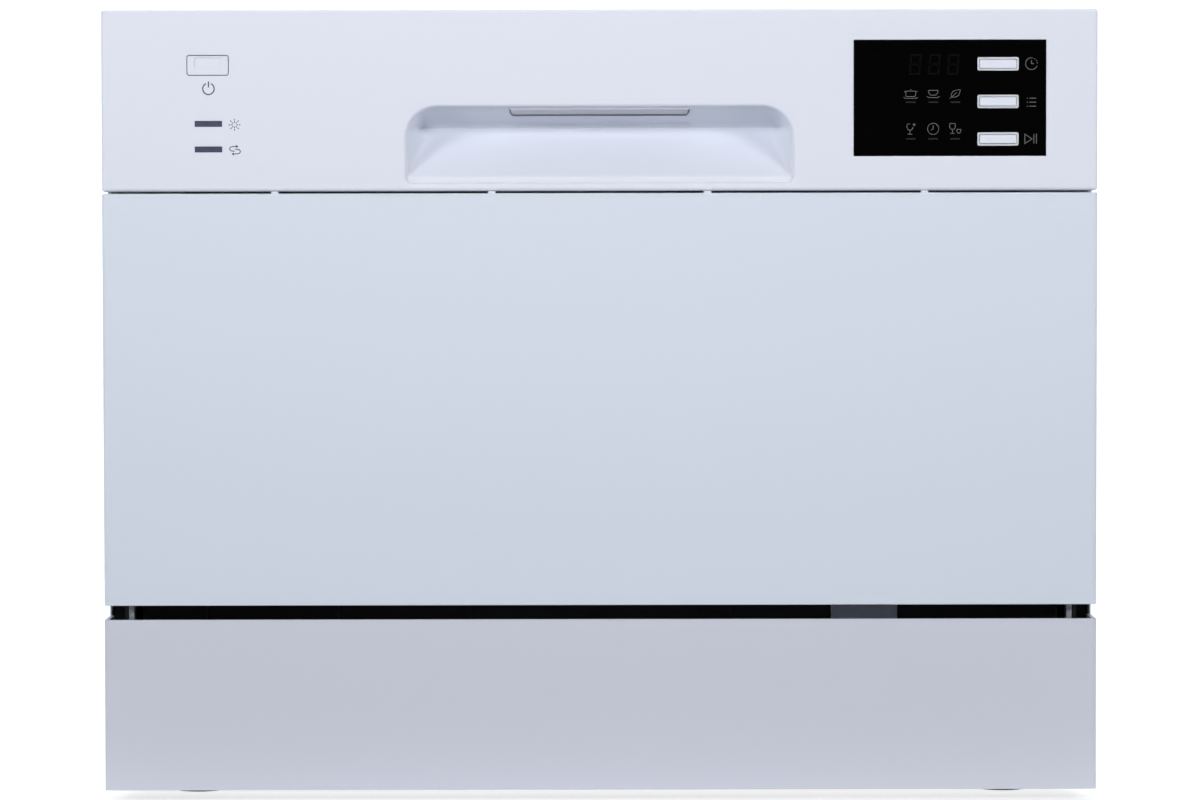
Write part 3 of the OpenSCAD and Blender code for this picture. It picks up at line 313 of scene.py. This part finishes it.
finishes = {
    "white_plastic": mouldedAbs(),
    "white_paint": enamelledSteel(),
    "black_plastic": blackPolypropylene(),
    "stainless": brushedStainless(),
    "felt": needledFelt(),
    "rubber": epdmRubber(),
    "pale_plastic": palePolypropylene(),
    "dark_plastic": darkPolypropylene(),
    "grey_plastic": greyPolypropylene(),
    "motor_casing": castingPaint(),
    "zinc_steel": zincPlatedSteel(),
    "black_gloss": blackAcrylic(),
    "circuit_board": lacqueredBoard(),
    "lens": smokedLens(),
    "bright_rim": rimWithPaintedShine(),
    "latch_grey": latchNylon(),
    "basket_coating": nylonCoat(),
}
slotOf = {row["node"]: row["material_slot"] for row in frame["record"]["subparts"]}
bodyOf = {n: b for b, members in frame["record"]["behaviour"]["bodies"].items() for n in members}
for name, carried in nodes.items():
    carried.data.materials.clear()
    carried.data.materials.append(finishes[slotOf[name]])
nodes["leak_float"].data.materials[0] = foamBeads()
# the plinth's ABS is painted greyer as shade
nodes["plinth"].data.materials[0] = shadedPlinthAbs()
nodes["loom_guard"].data.materials[0] = loomPolyamide()
nodes["hinge_brackets"].data.materials[0] = phosphatedSteel()
print("materials made")

stageLook = {
    # metres: a floor along Y that bends up into a wall
    "floor": "#d0d2d5", "front": -8.0, "back": 3.0, "bend": 1.2, "wall": 6.0, "width": 14.0,
    # the floor's glow is painted light, emitted by the floor material itself
    "glow": 0.85, "glowFrom": (-0.33, -0.2),  # light from below, full behind the object's front
    "roomLight": 0.05,
}
lamps = {
    # place, aim, watts, size and spread in degrees
    "frontSoftbox": ((-0.3, -3.3, 1.4), (0, -0.25, 0.43), 2.7, (2.4, 0.3), 32),
    "leftSoftbox": ((-2.4, -2.3, 1.4), (0, -0.2, 0.43), 2.1, (1.0, 0.5), 36),
    "rightSoftbox": ((2.4, -2.3, 1.4), (0, -0.2, 0.43), 2.05, (1.0, 0.5), 36),
    "overheadSoftbox": ((0.0, 0.9, 3.2), (0, 0.9, 0), 26, (5.0, 2.0), 60),
    "backdropLight": ((0.0, 2.2, 3.4), (0, 4.2, 0.6), 18, (6.0, 0.8), 100),
}


def glowingFloor():
    # dull white floor with a painted glow: emission of its own, no lamp, that grows from the object's foot
    # backwards
    mat, tree, shader, where = startMaterial("glowingFloor", stageLook["floor"], 0.9)
    along = addNode(tree, "ShaderNodeSeparateXYZ", links={"Vector": where}).outputs["Y"]
    start, end = stageLook["glowFrom"]
    glow = addNode(tree, "ShaderNodeMapRange", {
        "interpolation_type": "SMOOTHSTEP", "From Min": start, "From Max": end,
        "To Min": 0.0, "To Max": stageLook["glow"],
    }, {"Value": along})
    shader.inputs["Emission Color"].default_value = (1, 1, 1, 1)
    tree.links.new(glow.outputs["Result"], shader.inputs["Emission Strength"])
    return mat


def makeStage():
    look, bm = stageLook, bmesh.new()
    half, back, bend = look["width"] / 2, look["back"], look["bend"]
    profile = [(look["front"], 0.0), (back, 0.0)]
    profile += [(back + bend * math.sin(a), bend - bend * math.cos(a))
                for a in [math.radians(d) for d in range(10, 91, 10)]]
    profile.append((back + bend, look["wall"]))
    rows = [[bm.verts.new((x, y, z)) for y, z in profile] for x in (-half, half)]
    for i in range(len(profile) - 1):
        bm.faces.new((rows[0][i], rows[1][i], rows[1][i + 1], rows[0][i + 1])).smooth = True
    mesh = bpy.data.meshes.new("backdrop")
    bm.to_mesh(mesh)
    bm.free()
    mesh.materials.append(glowingFloor())
    paper = bpy.data.objects.new("backdrop", mesh)
    bpy.context.scene.collection.objects.link(paper)


def addLight(name, place, aim, watts, size, spread):
    data = bpy.data.lights.new(name, "AREA")
    data.energy = watts
    data.shape = "RECTANGLE"
    data.size, data.size_y = size
    data.spread = math.radians(spread)
    lamp = bpy.data.objects.new(name, data)
    lamp.location = place
    lamp.rotation_euler = (Vector(aim) - Vector(place)).to_track_quat("-Z", "Y").to_euler()
    bpy.context.scene.collection.objects.link(lamp)


def makeLights():
    for name, look in lamps.items():
        addLight(name, *look)
    world = bpy.data.worlds.new("whiteRoom")
    world.use_nodes = True
    world.node_tree.nodes["Background"].inputs["Color"].default_value = (1, 1, 1, 1)
    world.node_tree.nodes["Background"].inputs["Strength"].default_value = stageLook["roomLight"]
    bpy.context.scene.world = world
    bpy.context.scene.view_settings.view_transform = "Standard"


makeStage()
makeLights()
print("stage and lights made")


edgeLook = {"sharp": 35, "broken": 40, "segments": 2, "flatWeight": 80}  # the first two in degrees
mergeWithin = {"print": 0.001, "node": 0.002, "panel": 0.004}  # nearer points become one, millimetres


def finishMesh(bm, name, material, body, standsFor=(), sharp=edgeLook["sharp"], bevel=0.0):
    # turns a bmesh into a piece that rides on a body; bevel is in millimetres
    bmesh.ops.recalc_face_normals(bm, faces=bm.faces[:])
    for face in bm.faces:
        face.smooth = True
    limit = math.radians(sharp)
    for edge in bm.edges:
        edge.smooth = not (len(edge.link_faces) == 2 and edge.calc_face_angle(0) > limit)
    mesh = bpy.data.meshes.new(name)
    bm.to_mesh(mesh)
    bm.free()
    mesh.materials.append(material)
    piece = bpy.data.objects.new(name, mesh)
    bpy.context.scene.collection.objects.link(piece)
    if bevel:
        soften(piece, bevel)
    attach(piece, body)
    if standsFor:
        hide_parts(*standsFor)
    return piece


def soften(piece, width):
    mod = piece.modifiers.new("roundedEdges", "BEVEL")
    mod.width = width * mm
    mod.segments = edgeLook["segments"]
    mod.limit_method = "ANGLE"
    mod.angle_limit = math.radians(edgeLook["broken"])
    mod.harden_normals = False
    mod.miter_outer = "MITER_ARC"
    mod.use_clamp_overlap = True
    flatten(piece)


def flatten(piece):
    # lets large flat faces keep their own normal beside small rolls
    even = piece.modifiers.new("flatFaces", "WEIGHTED_NORMAL")
    even.weight = edgeLook["flatWeight"]
    even.keep_sharp = True


def addBlock(bm, x0, x1, y0, y1, z0, z1):
    # a block between two corners, in millimetres
    made = bmesh.ops.create_cube(bm, size=1.0)
    for v in made["verts"]:
        v.co = Vector(((x0 if v.co.x < 0 else x1) * mm, (y0 if v.co.y < 0 else y1) * mm,
                       (z0 if v.co.z < 0 else z1) * mm))


def arcPoints(centre, radius, start, end, steps):
    # points along an arc in degrees, both ends included
    return [(centre[0] + radius * math.cos(math.radians(start + (end - start) * i / steps)),
             centre[1] + radius * math.sin(math.radians(start + (end - start) * i / steps)))
            for i in range(steps + 1)]


def roundRect(x0, x1, z0, z1, radii, steps=6):
    # outline of a rectangle, counter-clockwise from the lower left; radii per corner: ll, lr, ur, ul
    if not isinstance(radii, (list, tuple)):
        radii = [radii] * 4
    corners = [((x0 + radii[0], z0 + radii[0]), radii[0], 180),
               ((x1 - radii[1], z0 + radii[1]), radii[1], 270),
               ((x1 - radii[2], z1 - radii[2]), radii[2], 0),
               ((x0 + radii[3], z1 - radii[3]), radii[3], 90)]
    points = []
    for centre, radius, start in corners:
        points += arcPoints(centre, radius, start, start + 90, steps) if radius > 0 else [centre]
    return points


def rectangle(x0, x1, z0, z1, corner=0.0):
    return roundRect(x0, x1, z0, z1, corner, 5)


def addPrism(bm, outline, y0, y1):
    # an X-Z outline given depth along Y, in millimetres
    rings = [[bm.verts.new((x * mm, y * mm, z * mm)) for x, z in outline] for y in (y0, y1)]
    count = len(outline)
    for i in range(count):
        j = (i + 1) % count
        bm.faces.new((rings[0][i], rings[0][j], rings[1][j], rings[1][i]))
    bm.faces.new(rings[0])
    bm.faces.new(rings[1][::-1])


def addRings(bm, rings, capped=False):
    # skins a list of closed rings of points (metres), all of one count
    rows = [[bm.verts.new(p) for p in ring] for ring in rings]
    count = len(rows[0])
    for a, b in zip(rows, rows[1:]):
        for i in range(count):
            j = (i + 1) % count
            bm.faces.new((a[i], a[j], b[j], b[i]))
    if capped:
        bm.faces.new(rows[0][::-1])
        bm.faces.new(rows[-1])


def inside(point, loop):
    # whether a point lies within an outline, by counting the sides that it sees to its right
    hit = False
    for (x0, z0), (x1, z1) in zip(loop, loop[1:] + loop[:1]):
        crosses = (z0 > point[1]) != (z1 > point[1])
        if crosses and point[0] < (x1 - x0) * (point[1] - z0) / (z1 - z0) + x0:
            hit = not hit
    return hit


def addFace(bm, loops, holes, depthAt, loose=()):
    # triangulates outlines and loose points in X and Z, and gives each point its own depth
    points = [Vector(p) for loop in loops for p in loop] + [Vector(p) for p in loose]
    edges, start = [], 0
    for loop in loops:
        edges += [(start + i, start + (i + 1) % len(loop)) for i in range(len(loop))]
        start += len(loop)
    made = geometry.delaunay_2d_cdt(points, edges, [], 1, 1e-5)
    verts = [bm.verts.new((p.x * mm, (frontMm + depthAt(p.x, p.y)) * mm, p.y * mm)) for p in made[0]]
    for tri in made[2]:
        middle = sum((made[0][i] for i in tri), Vector((0, 0))) / len(tri)
        if not any(inside(middle, hole) for hole in holes):
            bm.faces.new([verts[i] for i in tri])


def edgeRoll(loop, radius, y, outward, steps=4):
    # rings that roll from a face at depth y into a wall, round an outline; outward is +1 for a hole
    rings = []
    for i in range(steps + 1):
        a = math.radians(90 * i / steps)
        shift = radius * (1 - math.sin(a)) * outward
        depth = radius * (1 - math.cos(a))
        rings.append([(p[0] * mm, (y + depth) * mm, p[1] * mm) for p in offsetLoop(loop, shift)])
    return rings


def offsetLoop(loop, distance):
    # moves every point of a counter-clockwise outline outwards along its own normal
    if distance == 0:
        return loop
    moved = []
    count = len(loop)
    for i in range(count):
        a, b, c = Vector(loop[i - 1]), Vector(loop[i]), Vector(loop[(i + 1) % count])
        n = Vector((0, 0))
        for p, q in ((a, b), (b, c)):
            d = q - p
            if d.length > 1e-9:
                n += Vector((d.y, -d.x)).normalized()
        n.normalize()
        d = (b - a).normalized() if (b - a).length > 1e-9 else (c - b).normalized()
        slant = max(0.5, n.dot(Vector((d.y, -d.x))))  # so that no sharp corner runs far out
        moved.append(tuple(b + n * distance / slant))
    return moved


panelLook = {
    # millimetres, as all sizes from here on
    "low": 337.9, "high": 438.0, "half": 275.0,
    "corner": 1.6,  # rounding of the face's outer corners, seen from the front
    "edge": 1.8,  # roll from the face into its sides
    "depth": 28.0,
    "wall": 2.5,
    "holeEdge": 0.35,  # roll round the window and the buttons
    "sharp": 32,  # degrees
}
recessLook = {
    "half": 106.5, "low": 342.7, "high": 384.3,
    "topCorner": 16.6, "lowCorner": 3.0,
    "ceilingDepth": 28.0, "ceilingFall": 11.1,
    "ceilingBend": 1.5, "floorBend": 1.2,  # how far the ceiling and the scoop's floor bow
    "bandHigh": 373.2, "bandLow": 368.2, "bandDepth": 24.0,
    "lip": 1.8,  # roll of the rim
    "highRun": 6.5, "bandRun": 14.0, "lowRun": 16.0,  # width of the side walls at three heights
    "wallBend": 1.4,  # how far the side walls bow
    "blend": 5.0, "blendIn": 3.0,  # fillet beside the side walls, and how soon it grows from the rim
}
recessGrid = {
    # distances between the points that carry the recess's form
    "foot": 0.6, "scoop": 1.2, "band": 1.25, "ceiling": 1.1, "along": 6, "alongHalf": 84, "clear": 0.35,
    "sides": (0.6, 1.2, 2, 3, 4, 5, 6, 7, 8, 9, 10.5, 12, 14, 16, 19),  # in from the side walls' rims
}
padHole = {"half": 49.8, "low": 379.55, "high": 383.35, "corners": [2.2, 2.2, 0.3, 0.3]}
windowHole = {"x0": 140.2, "x1": 246.5, "z0": 356.8, "z1": 420.9}
powerKey = {"x0": -227.3, "x1": -204.9, "z0": 402.2, "z1": 412.7, "corner": 1.0, "gap": 0.4}
lensHoles = {"x0": -223.4, "x1": -208.3, "rows": [(373.6, 376.8), (359.5, 362.7)], "corner": 0.3}
seamTabs = {"at": (-179.5, -59.6, 59.6, 179.5), "half": 2, "depth": (1.6, 3), "reach": (-1.2, 1)}


def smoothMin(a, b, k):
    # the smaller of two depths, with a fillet of about k where they meet
    if k <= 0:
        return min(a, b)
    h = max(k - abs(a - b), 0.0) / k
    return min(a, b) - h * h * k * 0.25


def recessDepth(z):
    # how deep the recess is at a height, away from its side walls
    r = recessLook
    if z >= r["bandHigh"]:
        left = max(0.0, 1 - (r["high"] - z) / r["ceilingFall"])
        return r["ceilingDepth"] * (1 - left ** r["ceilingBend"])
    if z >= r["bandLow"]:
        share = (z - r["bandLow"]) / (r["bandHigh"] - r["bandLow"])
        return r["bandDepth"] + (r["ceilingDepth"] - r["bandDepth"]) * share
    share = (z - r["low"]) / (r["bandLow"] - r["low"])
    return r["bandDepth"] * max(0.0, share) ** r["floorBend"]


def recessOutline():
    r = recessLook
    return roundRect(-r["half"], r["half"], r["low"], r["high"],
                     [r["lowCorner"], r["lowCorner"], r["topCorner"], r["topCorner"]], 10)


def insetOf(x, z):
    # distance inwards from the recess's outline, with its round corners
    r = recessLook
    corner = r["topCorner"] if z > (r["low"] + r["high"]) / 2 else r["lowCorner"]
    dx = r["half"] - abs(x)
    dz = min(z - r["low"], r["high"] - z)
    if dx < corner and dz < corner:
        return corner - math.hypot(corner - dx, corner - dz)
    return min(dx, dz)


def recessAt(x, z):
    # depth of the recess under a point of its opening
    r = recessLook
    share = min(1.0, max(0.0, (z - r["bandLow"]) / (r["bandHigh"] - r["bandLow"])))
    width = r["bandRun"] + (r["highRun"] - r["bandRun"]) * share
    if z < r["bandLow"]:
        width = r["lowRun"] + (r["bandRun"] - r["lowRun"]) * (z - r["low"]) / (r["bandLow"] - r["low"])
    run = min(1.0, max(0.0, insetOf(x, z)) / width)
    side = r["ceilingDepth"] * (1 - (1 - run) ** r["wallBend"])
    blend = r["blend"] * min(1.0, insetOf(x, z) / r["blendIn"])
    return max(r["lip"], smoothMin(recessDepth(z), side, blend))


def grown(look, gap):
    # a rectangle's outline made larger by a gap all round
    return rectangle(look["x0"] - gap, look["x1"] + gap, look["z0"] - gap, look["z1"] + gap,
                     look.get("corner", 0.0) + gap)


def panelHoles():
    lenses = lensHoles
    holes = [grown(windowHole, 0.0), grown(powerKey, powerKey["gap"])]
    holes += [rectangle(lenses["x0"], lenses["x1"], z0, z1, lenses["corner"]) for z0, z1 in lenses["rows"]]
    return holes


def recessPoints():
    # loose points that are close together where the recess bends
    r, g = recessLook, recessGrid
    heights = [r["low"] + g["foot"] * i for i in range(1, 4)]
    heights += [r["low"] + 2 * g["scoop"] + g["scoop"] * i for i in range(19)]
    heights += [r["bandLow"] + g["band"] * i for i in range(4)] + [r["bandHigh"]]
    heights += [r["bandHigh"] + g["ceiling"] * i for i in range(1, 10)]
    left = [-r["half"] + s for s in g["sides"]]
    middle = range(-g["alongHalf"], g["alongHalf"] + 1, g["along"])
    across = left + list(middle) + [-x for x in left]
    return [(x, z) for x in across for z in heights if insetOf(x, z) > g["clear"]]


def onFace(x, z):
    return 0.0


def buildPanel():
    look, bm = panelLook, bmesh.new()
    outer = roundRect(-look["half"], look["half"], look["low"], look["high"], look["corner"], 4)
    holes, rim = panelHoles(), recessOutline()
    openings = [offsetLoop(h, look["holeEdge"]) for h in holes] + [offsetLoop(rim, recessLook["lip"])]
    addFace(bm, [offsetLoop(outer, -look["edge"])] + openings, openings, onFace)
    back = [(x * mm, (frontMm + look["depth"]) * mm, z * mm) for x, z in outer]
    addRings(bm, edgeRoll(outer, look["edge"], frontMm, -1) + [back])
    for hole in holes:
        inner = [(x * mm, (frontMm + look["wall"]) * mm, z * mm) for x, z in hole]
        addRings(bm, edgeRoll(hole, look["holeEdge"], frontMm, 1, 3) + [inner])
    addRings(bm, edgeRoll(rim, recessLook["lip"], frontMm, 1, 5))
    pad = rectangle(-padHole["half"], padHole["half"], padHole["low"], padHole["high"], padHole["corners"])
    addFace(bm, [rim, pad], [pad], recessAt, recessPoints())
    near, far = seamTabs["depth"]
    foot, top = seamTabs["reach"]
    for x in seamTabs["at"]:
        addBlock(bm, x - seamTabs["half"], x + seamTabs["half"], frontMm + near, frontMm + far,
                 look["low"] + foot, look["low"] + top)
    bmesh.ops.remove_doubles(bm, verts=bm.verts[:], dist=mergeWithin["panel"] * mm)
    piece = finishMesh(bm, "panelMoulding", finishes["white_plastic"], "door",
                       ("control_panel",), sharp=look["sharp"])
    flatten(piece)


buildPanel()
print("control panel made")


printLook = {"proud": 0.03, "sunk": 0.05}  # of the door's front
panelInk = padPrint("panelInk", "#3c3e4c")
windowInk = padPrint("windowInk", "#5c5e62")
ghostInk = padPrint("ghostInk", "#060607", 0.2, 0.12)
idleInk = padPrint("idleInk", "#1c1c1e", 0.3, 0.2)


def addStroke(bm, points, width, y0, y1, closed=False):
    # a ribbon of even width along a line of points in X and Z, in millimetres
    count = len(points)
    rings = []
    for i in range(count):
        here = Vector(points[i])
        back = Vector(points[i - 1]) if closed or i else None
        ahead = Vector(points[(i + 1) % count]) if closed or i < count - 1 else None
        ways = [(b - a).normalized() for a, b in ((back, here), (here, ahead)) if a and b]
        side = sum((Vector((-w.y, w.x)) for w in ways), Vector((0, 0))).normalized()
        reach = width / 2 / max(0.5, side.dot(Vector((-ways[0].y, ways[0].x))))
        left, right = here + side * reach, here - side * reach
        section = ((left, y0), (right, y0), (right, y1), (left, y1))
        rings.append([(p.x * mm, y * mm, p.y * mm) for p, y in section])
    addRings(bm, rings + rings[:1] if closed else rings, capped=not closed)


def shifted(points, centre):
    return [(x + centre[0], z + centre[1]) for x, z in points]


def addPrint(name, lines, fills, ink, width=0.0):
    # pad-printed signs on the door's front: lines are (points, closed), fills are outlines
    bm = bmesh.new()
    top, low = frontMm - printLook["proud"], frontMm + printLook["sunk"]
    for points, closed in lines:
        addStroke(bm, points, width, top, low, closed)
    for outline in fills:
        addPrism(bm, outline, top, low)
    bmesh.ops.remove_doubles(bm, verts=bm.verts[:], dist=mergeWithin["print"] * mm)
    finishMesh(bm, name, ink, "door")


# a dark strip as painted shade of the gap round the latch pad
padGapShade = {
    "half": 49.1, "low": 380.0, "high": 382.6, "corner": 2.0,
    "width": 0.36, "proud": 0.5, "sunk": 0.3,  # both along Y, off the pad's sloping underside
}


def makePadGapShade():
    # painted shade: a dark strip along the sides and rear edge of the latch pad's underside, where the gap
    # round the pad lies in shadow
    p, r = padGapShade, recessLook
    half, low, c = p["half"], p["low"], p["corner"]
    line = [(-half, p["high"])] + arcPoints((-half + c, low + c), c, 180, 270, 5)
    line += arcPoints((half - c, low + c), c, 270, 360, 5) + [(half, p["high"])]
    bm = bmesh.new()
    addStroke(bm, line, p["width"], -p["proud"], p["sunk"])
    for v in bm.verts:
        slope = (r["high"] - v.co.z / mm) * r["ceilingDepth"] / r["ceilingFall"]
        v.co.y += (frontMm + slope) * mm
    finishMesh(bm, "padGapShade", finishes["dark_plastic"], "latch_lever")


# a dark ring as painted shade in the power key's gap
powerGapShade = {"depth": 0.7, "thick": 1.2, "offKey": 0.05, "intoPanel": 0.1}


def makePowerGapShade():
    # painted shade: a dark rubber ring in the gap round the power key, standing for the shadow down in the
    # gap
    p, bm = powerGapShade, bmesh.new()
    inner, outer = grown(powerKey, p["offKey"]), grown(powerKey, powerKey["gap"] + p["intoPanel"])
    front, back = frontMm + p["depth"], frontMm + p["depth"] + p["thick"]
    rings = [[(x * mm, y * mm, z * mm) for x, z in loop]
             for loop, y in ((inner, front), (outer, front), (outer, back), (inner, back))]
    addRings(bm, rings + rings[:1])
    bmesh.ops.remove_doubles(bm, verts=bm.verts[:], dist=mergeWithin["print"] * mm)
    finishMesh(bm, "powerGapShade", finishes["rubber"], "door")


powerSign = {
    "centre": (-215.7, 394.55), "radius": 3.15, "steps": 30, "width": 0.68,
    "gap": 26,  # degrees left open on each side of the bar
    "bar": (4.05, 0.75),  # its two ends above the centre
}


def makePowerSign():
    p = powerSign
    x, z = p["centre"]
    ring = arcPoints(p["centre"], p["radius"], 90 + p["gap"], 450 - p["gap"], p["steps"])
    bar = [(x, z + p["bar"][0]), (x, z + p["bar"][1])]
    addPrint("powerSign", [(ring, False), (bar, False)], [], panelInk, p["width"])


lampSigns = {
    "rinse": (-201.4, 374.7), "salt": (-201.2, 360.7), "width": 0.5,
    "rayCount": 8, "rays": [(1.0, 1.9), (2.3, 3.3)],  # a star of broken rays over the upper lens
    # a bent arrow, drawn twice, for the lower lens
    "bend": [(0.9, 2.05), (-1.3, 2.0), (-2.5, 1.65), (-3.05, 0.75), (-2.5, -0.2),
             (-1.4, -0.5), (-0.1, -0.5)],
    "head": [(0.75, 1.2), (1.9, 2.1), (0.5, 3.0)],
}


def makeLampSigns():
    s = lampSigns
    lines = []
    for k in range(s["rayCount"]):
        turn = math.radians(360 / s["rayCount"] * k)
        x, z = math.cos(turn), math.sin(turn)
        lines += [(shifted([(a * x, a * z), (b * x, b * z)], s["rinse"]), False) for a, b in s["rays"]]
    turned = [[(-x, -z) for x, z in part] for part in (s["bend"], s["head"])]
    lines += [(shifted(s["bend"], s["salt"]), False), (shifted(turned[0], s["salt"]), False)]
    fills = [shifted(s["head"], s["salt"]), shifted(turned[1], s["salt"])]
    addPrint("lampSigns", lines, fills, panelInk, s["width"])


keySigns = {
    "x": 238.3, "delay": 407.6, "list": 386.4, "start": 366.2, "width": 0.38,
    "dial": (3.25, 78, 338, 24),  # radius, start and end in degrees, steps
    "dashes": (52, 27, 2), "dash": 11,  # degrees
    "hands": [(0, 1.9), (0, 0), (1.4, 0)],
    "rows": (-2.2, 0.0, 2.2), "dot": (-2.5, -1.9), "entry": (-1.0, 2.6),
    "arrow": [(-3.6, -2.6), (0.4, 0), (-3.6, 2.6)],
    "bars": (1.4, 2.8), "barHalf": 2.7,
}


def makeKeySigns():
    k = keySigns
    delay, rows, start = [(k["x"], k[sign]) for sign in ("delay", "list", "start")]
    radius, first, last, steps = k["dial"]
    lines = [(arcPoints(delay, radius, first, last, steps), False)]
    lines += [(arcPoints(delay, radius, a, a + k["dash"], 2), False) for a in k["dashes"]]
    lines.append((shifted(k["hands"], delay), False))
    for z in k["rows"]:
        lines += [(shifted([(x0, z), (x1, z)], rows), False) for x0, x1 in (k["dot"], k["entry"])]
    lines.append((shifted(k["arrow"], start), True))
    lines += [(shifted([(x, -k["barHalf"]), (x, k["barHalf"])], start), False) for x in k["bars"]]
    addPrint("keySigns", lines, [], windowInk, k["width"])


programmeSigns = {
    "columns": [171.7, 184.1, 196.3], "rows": [391.1, 371.8], "width": 0.32,
    "signs": [("pot", "cup", "leaf"), ("glass", "clock", "glassCup")],
    # lines of each sign about its own centre, as (points, closed)
    "pot": [([(-2.7, 1.5), (-2.7, -1.0), (-2.2, -1.5), (2.2, -1.5), (2.7, -1.0), (2.7, 1.5)], True),
            ([(-3.7, 1.2), (-2.8, 1.2)], False), ([(2.8, 1.2), (3.7, 1.2)], False),
            ([(-0.4, 2.2), (0.4, 2.2)], False),
            ([(-3.9, -1.9), (-3.1, -2.5), (3.1, -2.5), (4.0, -1.9)], False)],
    "cup": [([(-2.6, 1.9), (-2.5, 0.6), (-1.5, -0.7), (1.5, -0.7), (2.5, 0.6), (2.6, 1.9)], True),
            ([(-3.4, -1.4), (-2.6, -2.1), (2.6, -2.1), (3.4, -1.4)], False)],
    "leaf": [([(-2.2, -1.9), (-2.2, 0.0), (-1.1, 1.5), (0.8, 2.1), (2.6, 2.2), (2.5, 0.7), (1.8, -0.9),
               (0.2, -1.8)], True),
             ([(-3.1, -2.7), (0.9, 0.8)], False)],
    "glass": [([(-1.9, 2.7), (-2.1, 0.9), (-1.5, -0.4), (-0.4, -0.9), (0.7, -0.4), (1.3, 0.9)], False),
              ([(-1.9, 2.7), (-0.3, 2.7)], False), ([(-0.4, -0.9), (-0.4, -2.8)], False),
              ([(-1.7, -2.9), (0.9, -2.9)], False), ([(1.0, 2.3), (2.8, 2.3)], False),
              ([(1.4, 1.6), (2.4, 3.0)], False), ([(2.4, 1.6), (1.4, 3.0)], False)],
    "clock": [(arcPoints((0, 0), 3.1, 0, 348, 29), True), ([(0, 1.8), (0, 0), (-1.1, -0.7)], False)],
    "glassCup": [([(-3.1, 2.9), (-3.2, 1.2), (-2.6, 0.0), (-1.55, -0.5), (-0.5, 0.0), (0.1, 1.2),
                   (0.0, 2.9)], True),
                 ([(-1.55, -0.5), (-1.55, -2.5)], False), ([(-2.7, -2.6), (-0.4, -2.6)], False),
                 ([(0.8, -0.3), (0.9, -1.5), (1.5, -2.4), (2.4, -2.4), (3.0, -1.5), (3.1, -0.3)], True)],
}


def makeProgrammeSigns():
    s = programmeSigns
    lines = []
    for row, names in zip(s["rows"], s["signs"]):
        for x, sign in zip(s["columns"], names):
            lines += [(shifted(points, (x, row)), closed) for points, closed in s[sign]]
    addPrint("programmeSigns", lines, [], windowInk, s["width"])


idleLights = {
    "digits": [174.2, 184.7, 195.2], "z": 407.3, "wide": 5.2, "high": 10.4, "slant": 0.08, "width": 1.1,
    "lampRows": [386.5, 366.3], "lamp": (5.4, 0.9), "lampCorner": 0.2,
}


def leaned(points, x):
    # a digit's points, leaned to the right about its centre
    d = idleLights
    return [(across + up * d["slant"] + x, up + d["z"]) for across, up in points]


def makeIdleLights():
    # unlit digits and lamps that show faintly in the window
    d = idleLights
    w, h = d["wide"] / 2, d["high"] / 2
    lines = []
    for x in d["digits"]:
        lines += [(leaned([(-w, h), (-w, -h), (w, -h), (w, h)], x), True),
                  (leaned([(-w, 0), (w, 0)], x), False)]
    wide, high = d["lamp"][0] / 2, d["lamp"][1] / 2
    fills = [rectangle(x - wide, x + wide, z - high, z + high, d["lampCorner"])
             for z in d["lampRows"] for x in programmeSigns["columns"]]
    addPrint("idleDigits", lines, [], ghostInk, d["width"])
    addPrint("idleLamps", [], fills, idleInk)


makePadGapShade()
makePowerGapShade()
makePowerSign()
makeLampSigns()
makeKeySigns()
makeProgrammeSigns()
makeIdleLights()
print("prints made")

softEdges = {
    # node: width of its broken edges in millimetres
    "outer_door": 0.5, "plinth": 0.6, "top_cover": 0.8, "left_side_panel": 0.3, "right_side_panel": 0.3,
    "rear_panel": 0.3, "display_window": 0.12, "button_bezels": 0.15, "power_button": 0.35,
    "delay_button": 0.3, "program_button": 0.3, "start_button": 0.3, "indicator_lenses": 0.15,
    "latch_lever": 0.4, "loom_guard": 0.4, "base_tray": 0.5, "hinge_brackets": 0.3, "door_arms": 0.3,
    "tub": 0.3, "inner_door": 0.4, "door_gasket": 1.0, "dispenser_body": 0.5, "dispenser_lid": 0.5,
    "rinse_cap": 0.4, "cutlery_basket": 0.4, "spray_arm": 1.0, "filter_cup": 0.5, "salt_cap": 0.6,
    "rubber_feet": 0.8, "inlet_valve": 0.5, "drain_spigot": 0.4, "cord_gland": 0.5, "sump": 0.5,
    "basket_rails": 0.4, "air_breather": 0.6, "inner_pipe": 0.5, "strike": 0.3, "latch_housing": 0.3,
    "wash_pump": 0.6, "drain_pump": 0.5, "heater": 0.3, "water_softener": 0.8, "leak_float": 0.5,
}
joinedFaces = (
    # nodes whose flat faces have no holes, so that their triangles can be joined
    "outer_door", "plinth", "top_cover", "left_side_panel", "right_side_panel", "display_window",
    "button_bezels", "power_button", "delay_button", "program_button", "start_button",
    "indicator_lenses", "latch_lever", "loom_guard", "door_gasket", "dispenser_lid", "rubber_feet",
)


def softened(node, width, joined):
    # the CAD node's own form with its sharp edges broken
    bm = bmesh.new()
    bm.from_mesh(nodes[node].data)
    bmesh.ops.remove_doubles(bm, verts=bm.verts[:], dist=mergeWithin["node"] * mm)
    if joined:
        flat = math.radians(1)
        bmesh.ops.dissolve_limit(bm, angle_limit=flat, verts=bm.verts[:], edges=bm.edges[:])
    material = nodes[node].data.materials[0]
    finishMesh(bm, node + "_finished", material, bodyOf[node], (node,), bevel=width)


for name, width in softEdges.items():
    softened(name, width, name in joinedFaces)
print("softened pieces made")
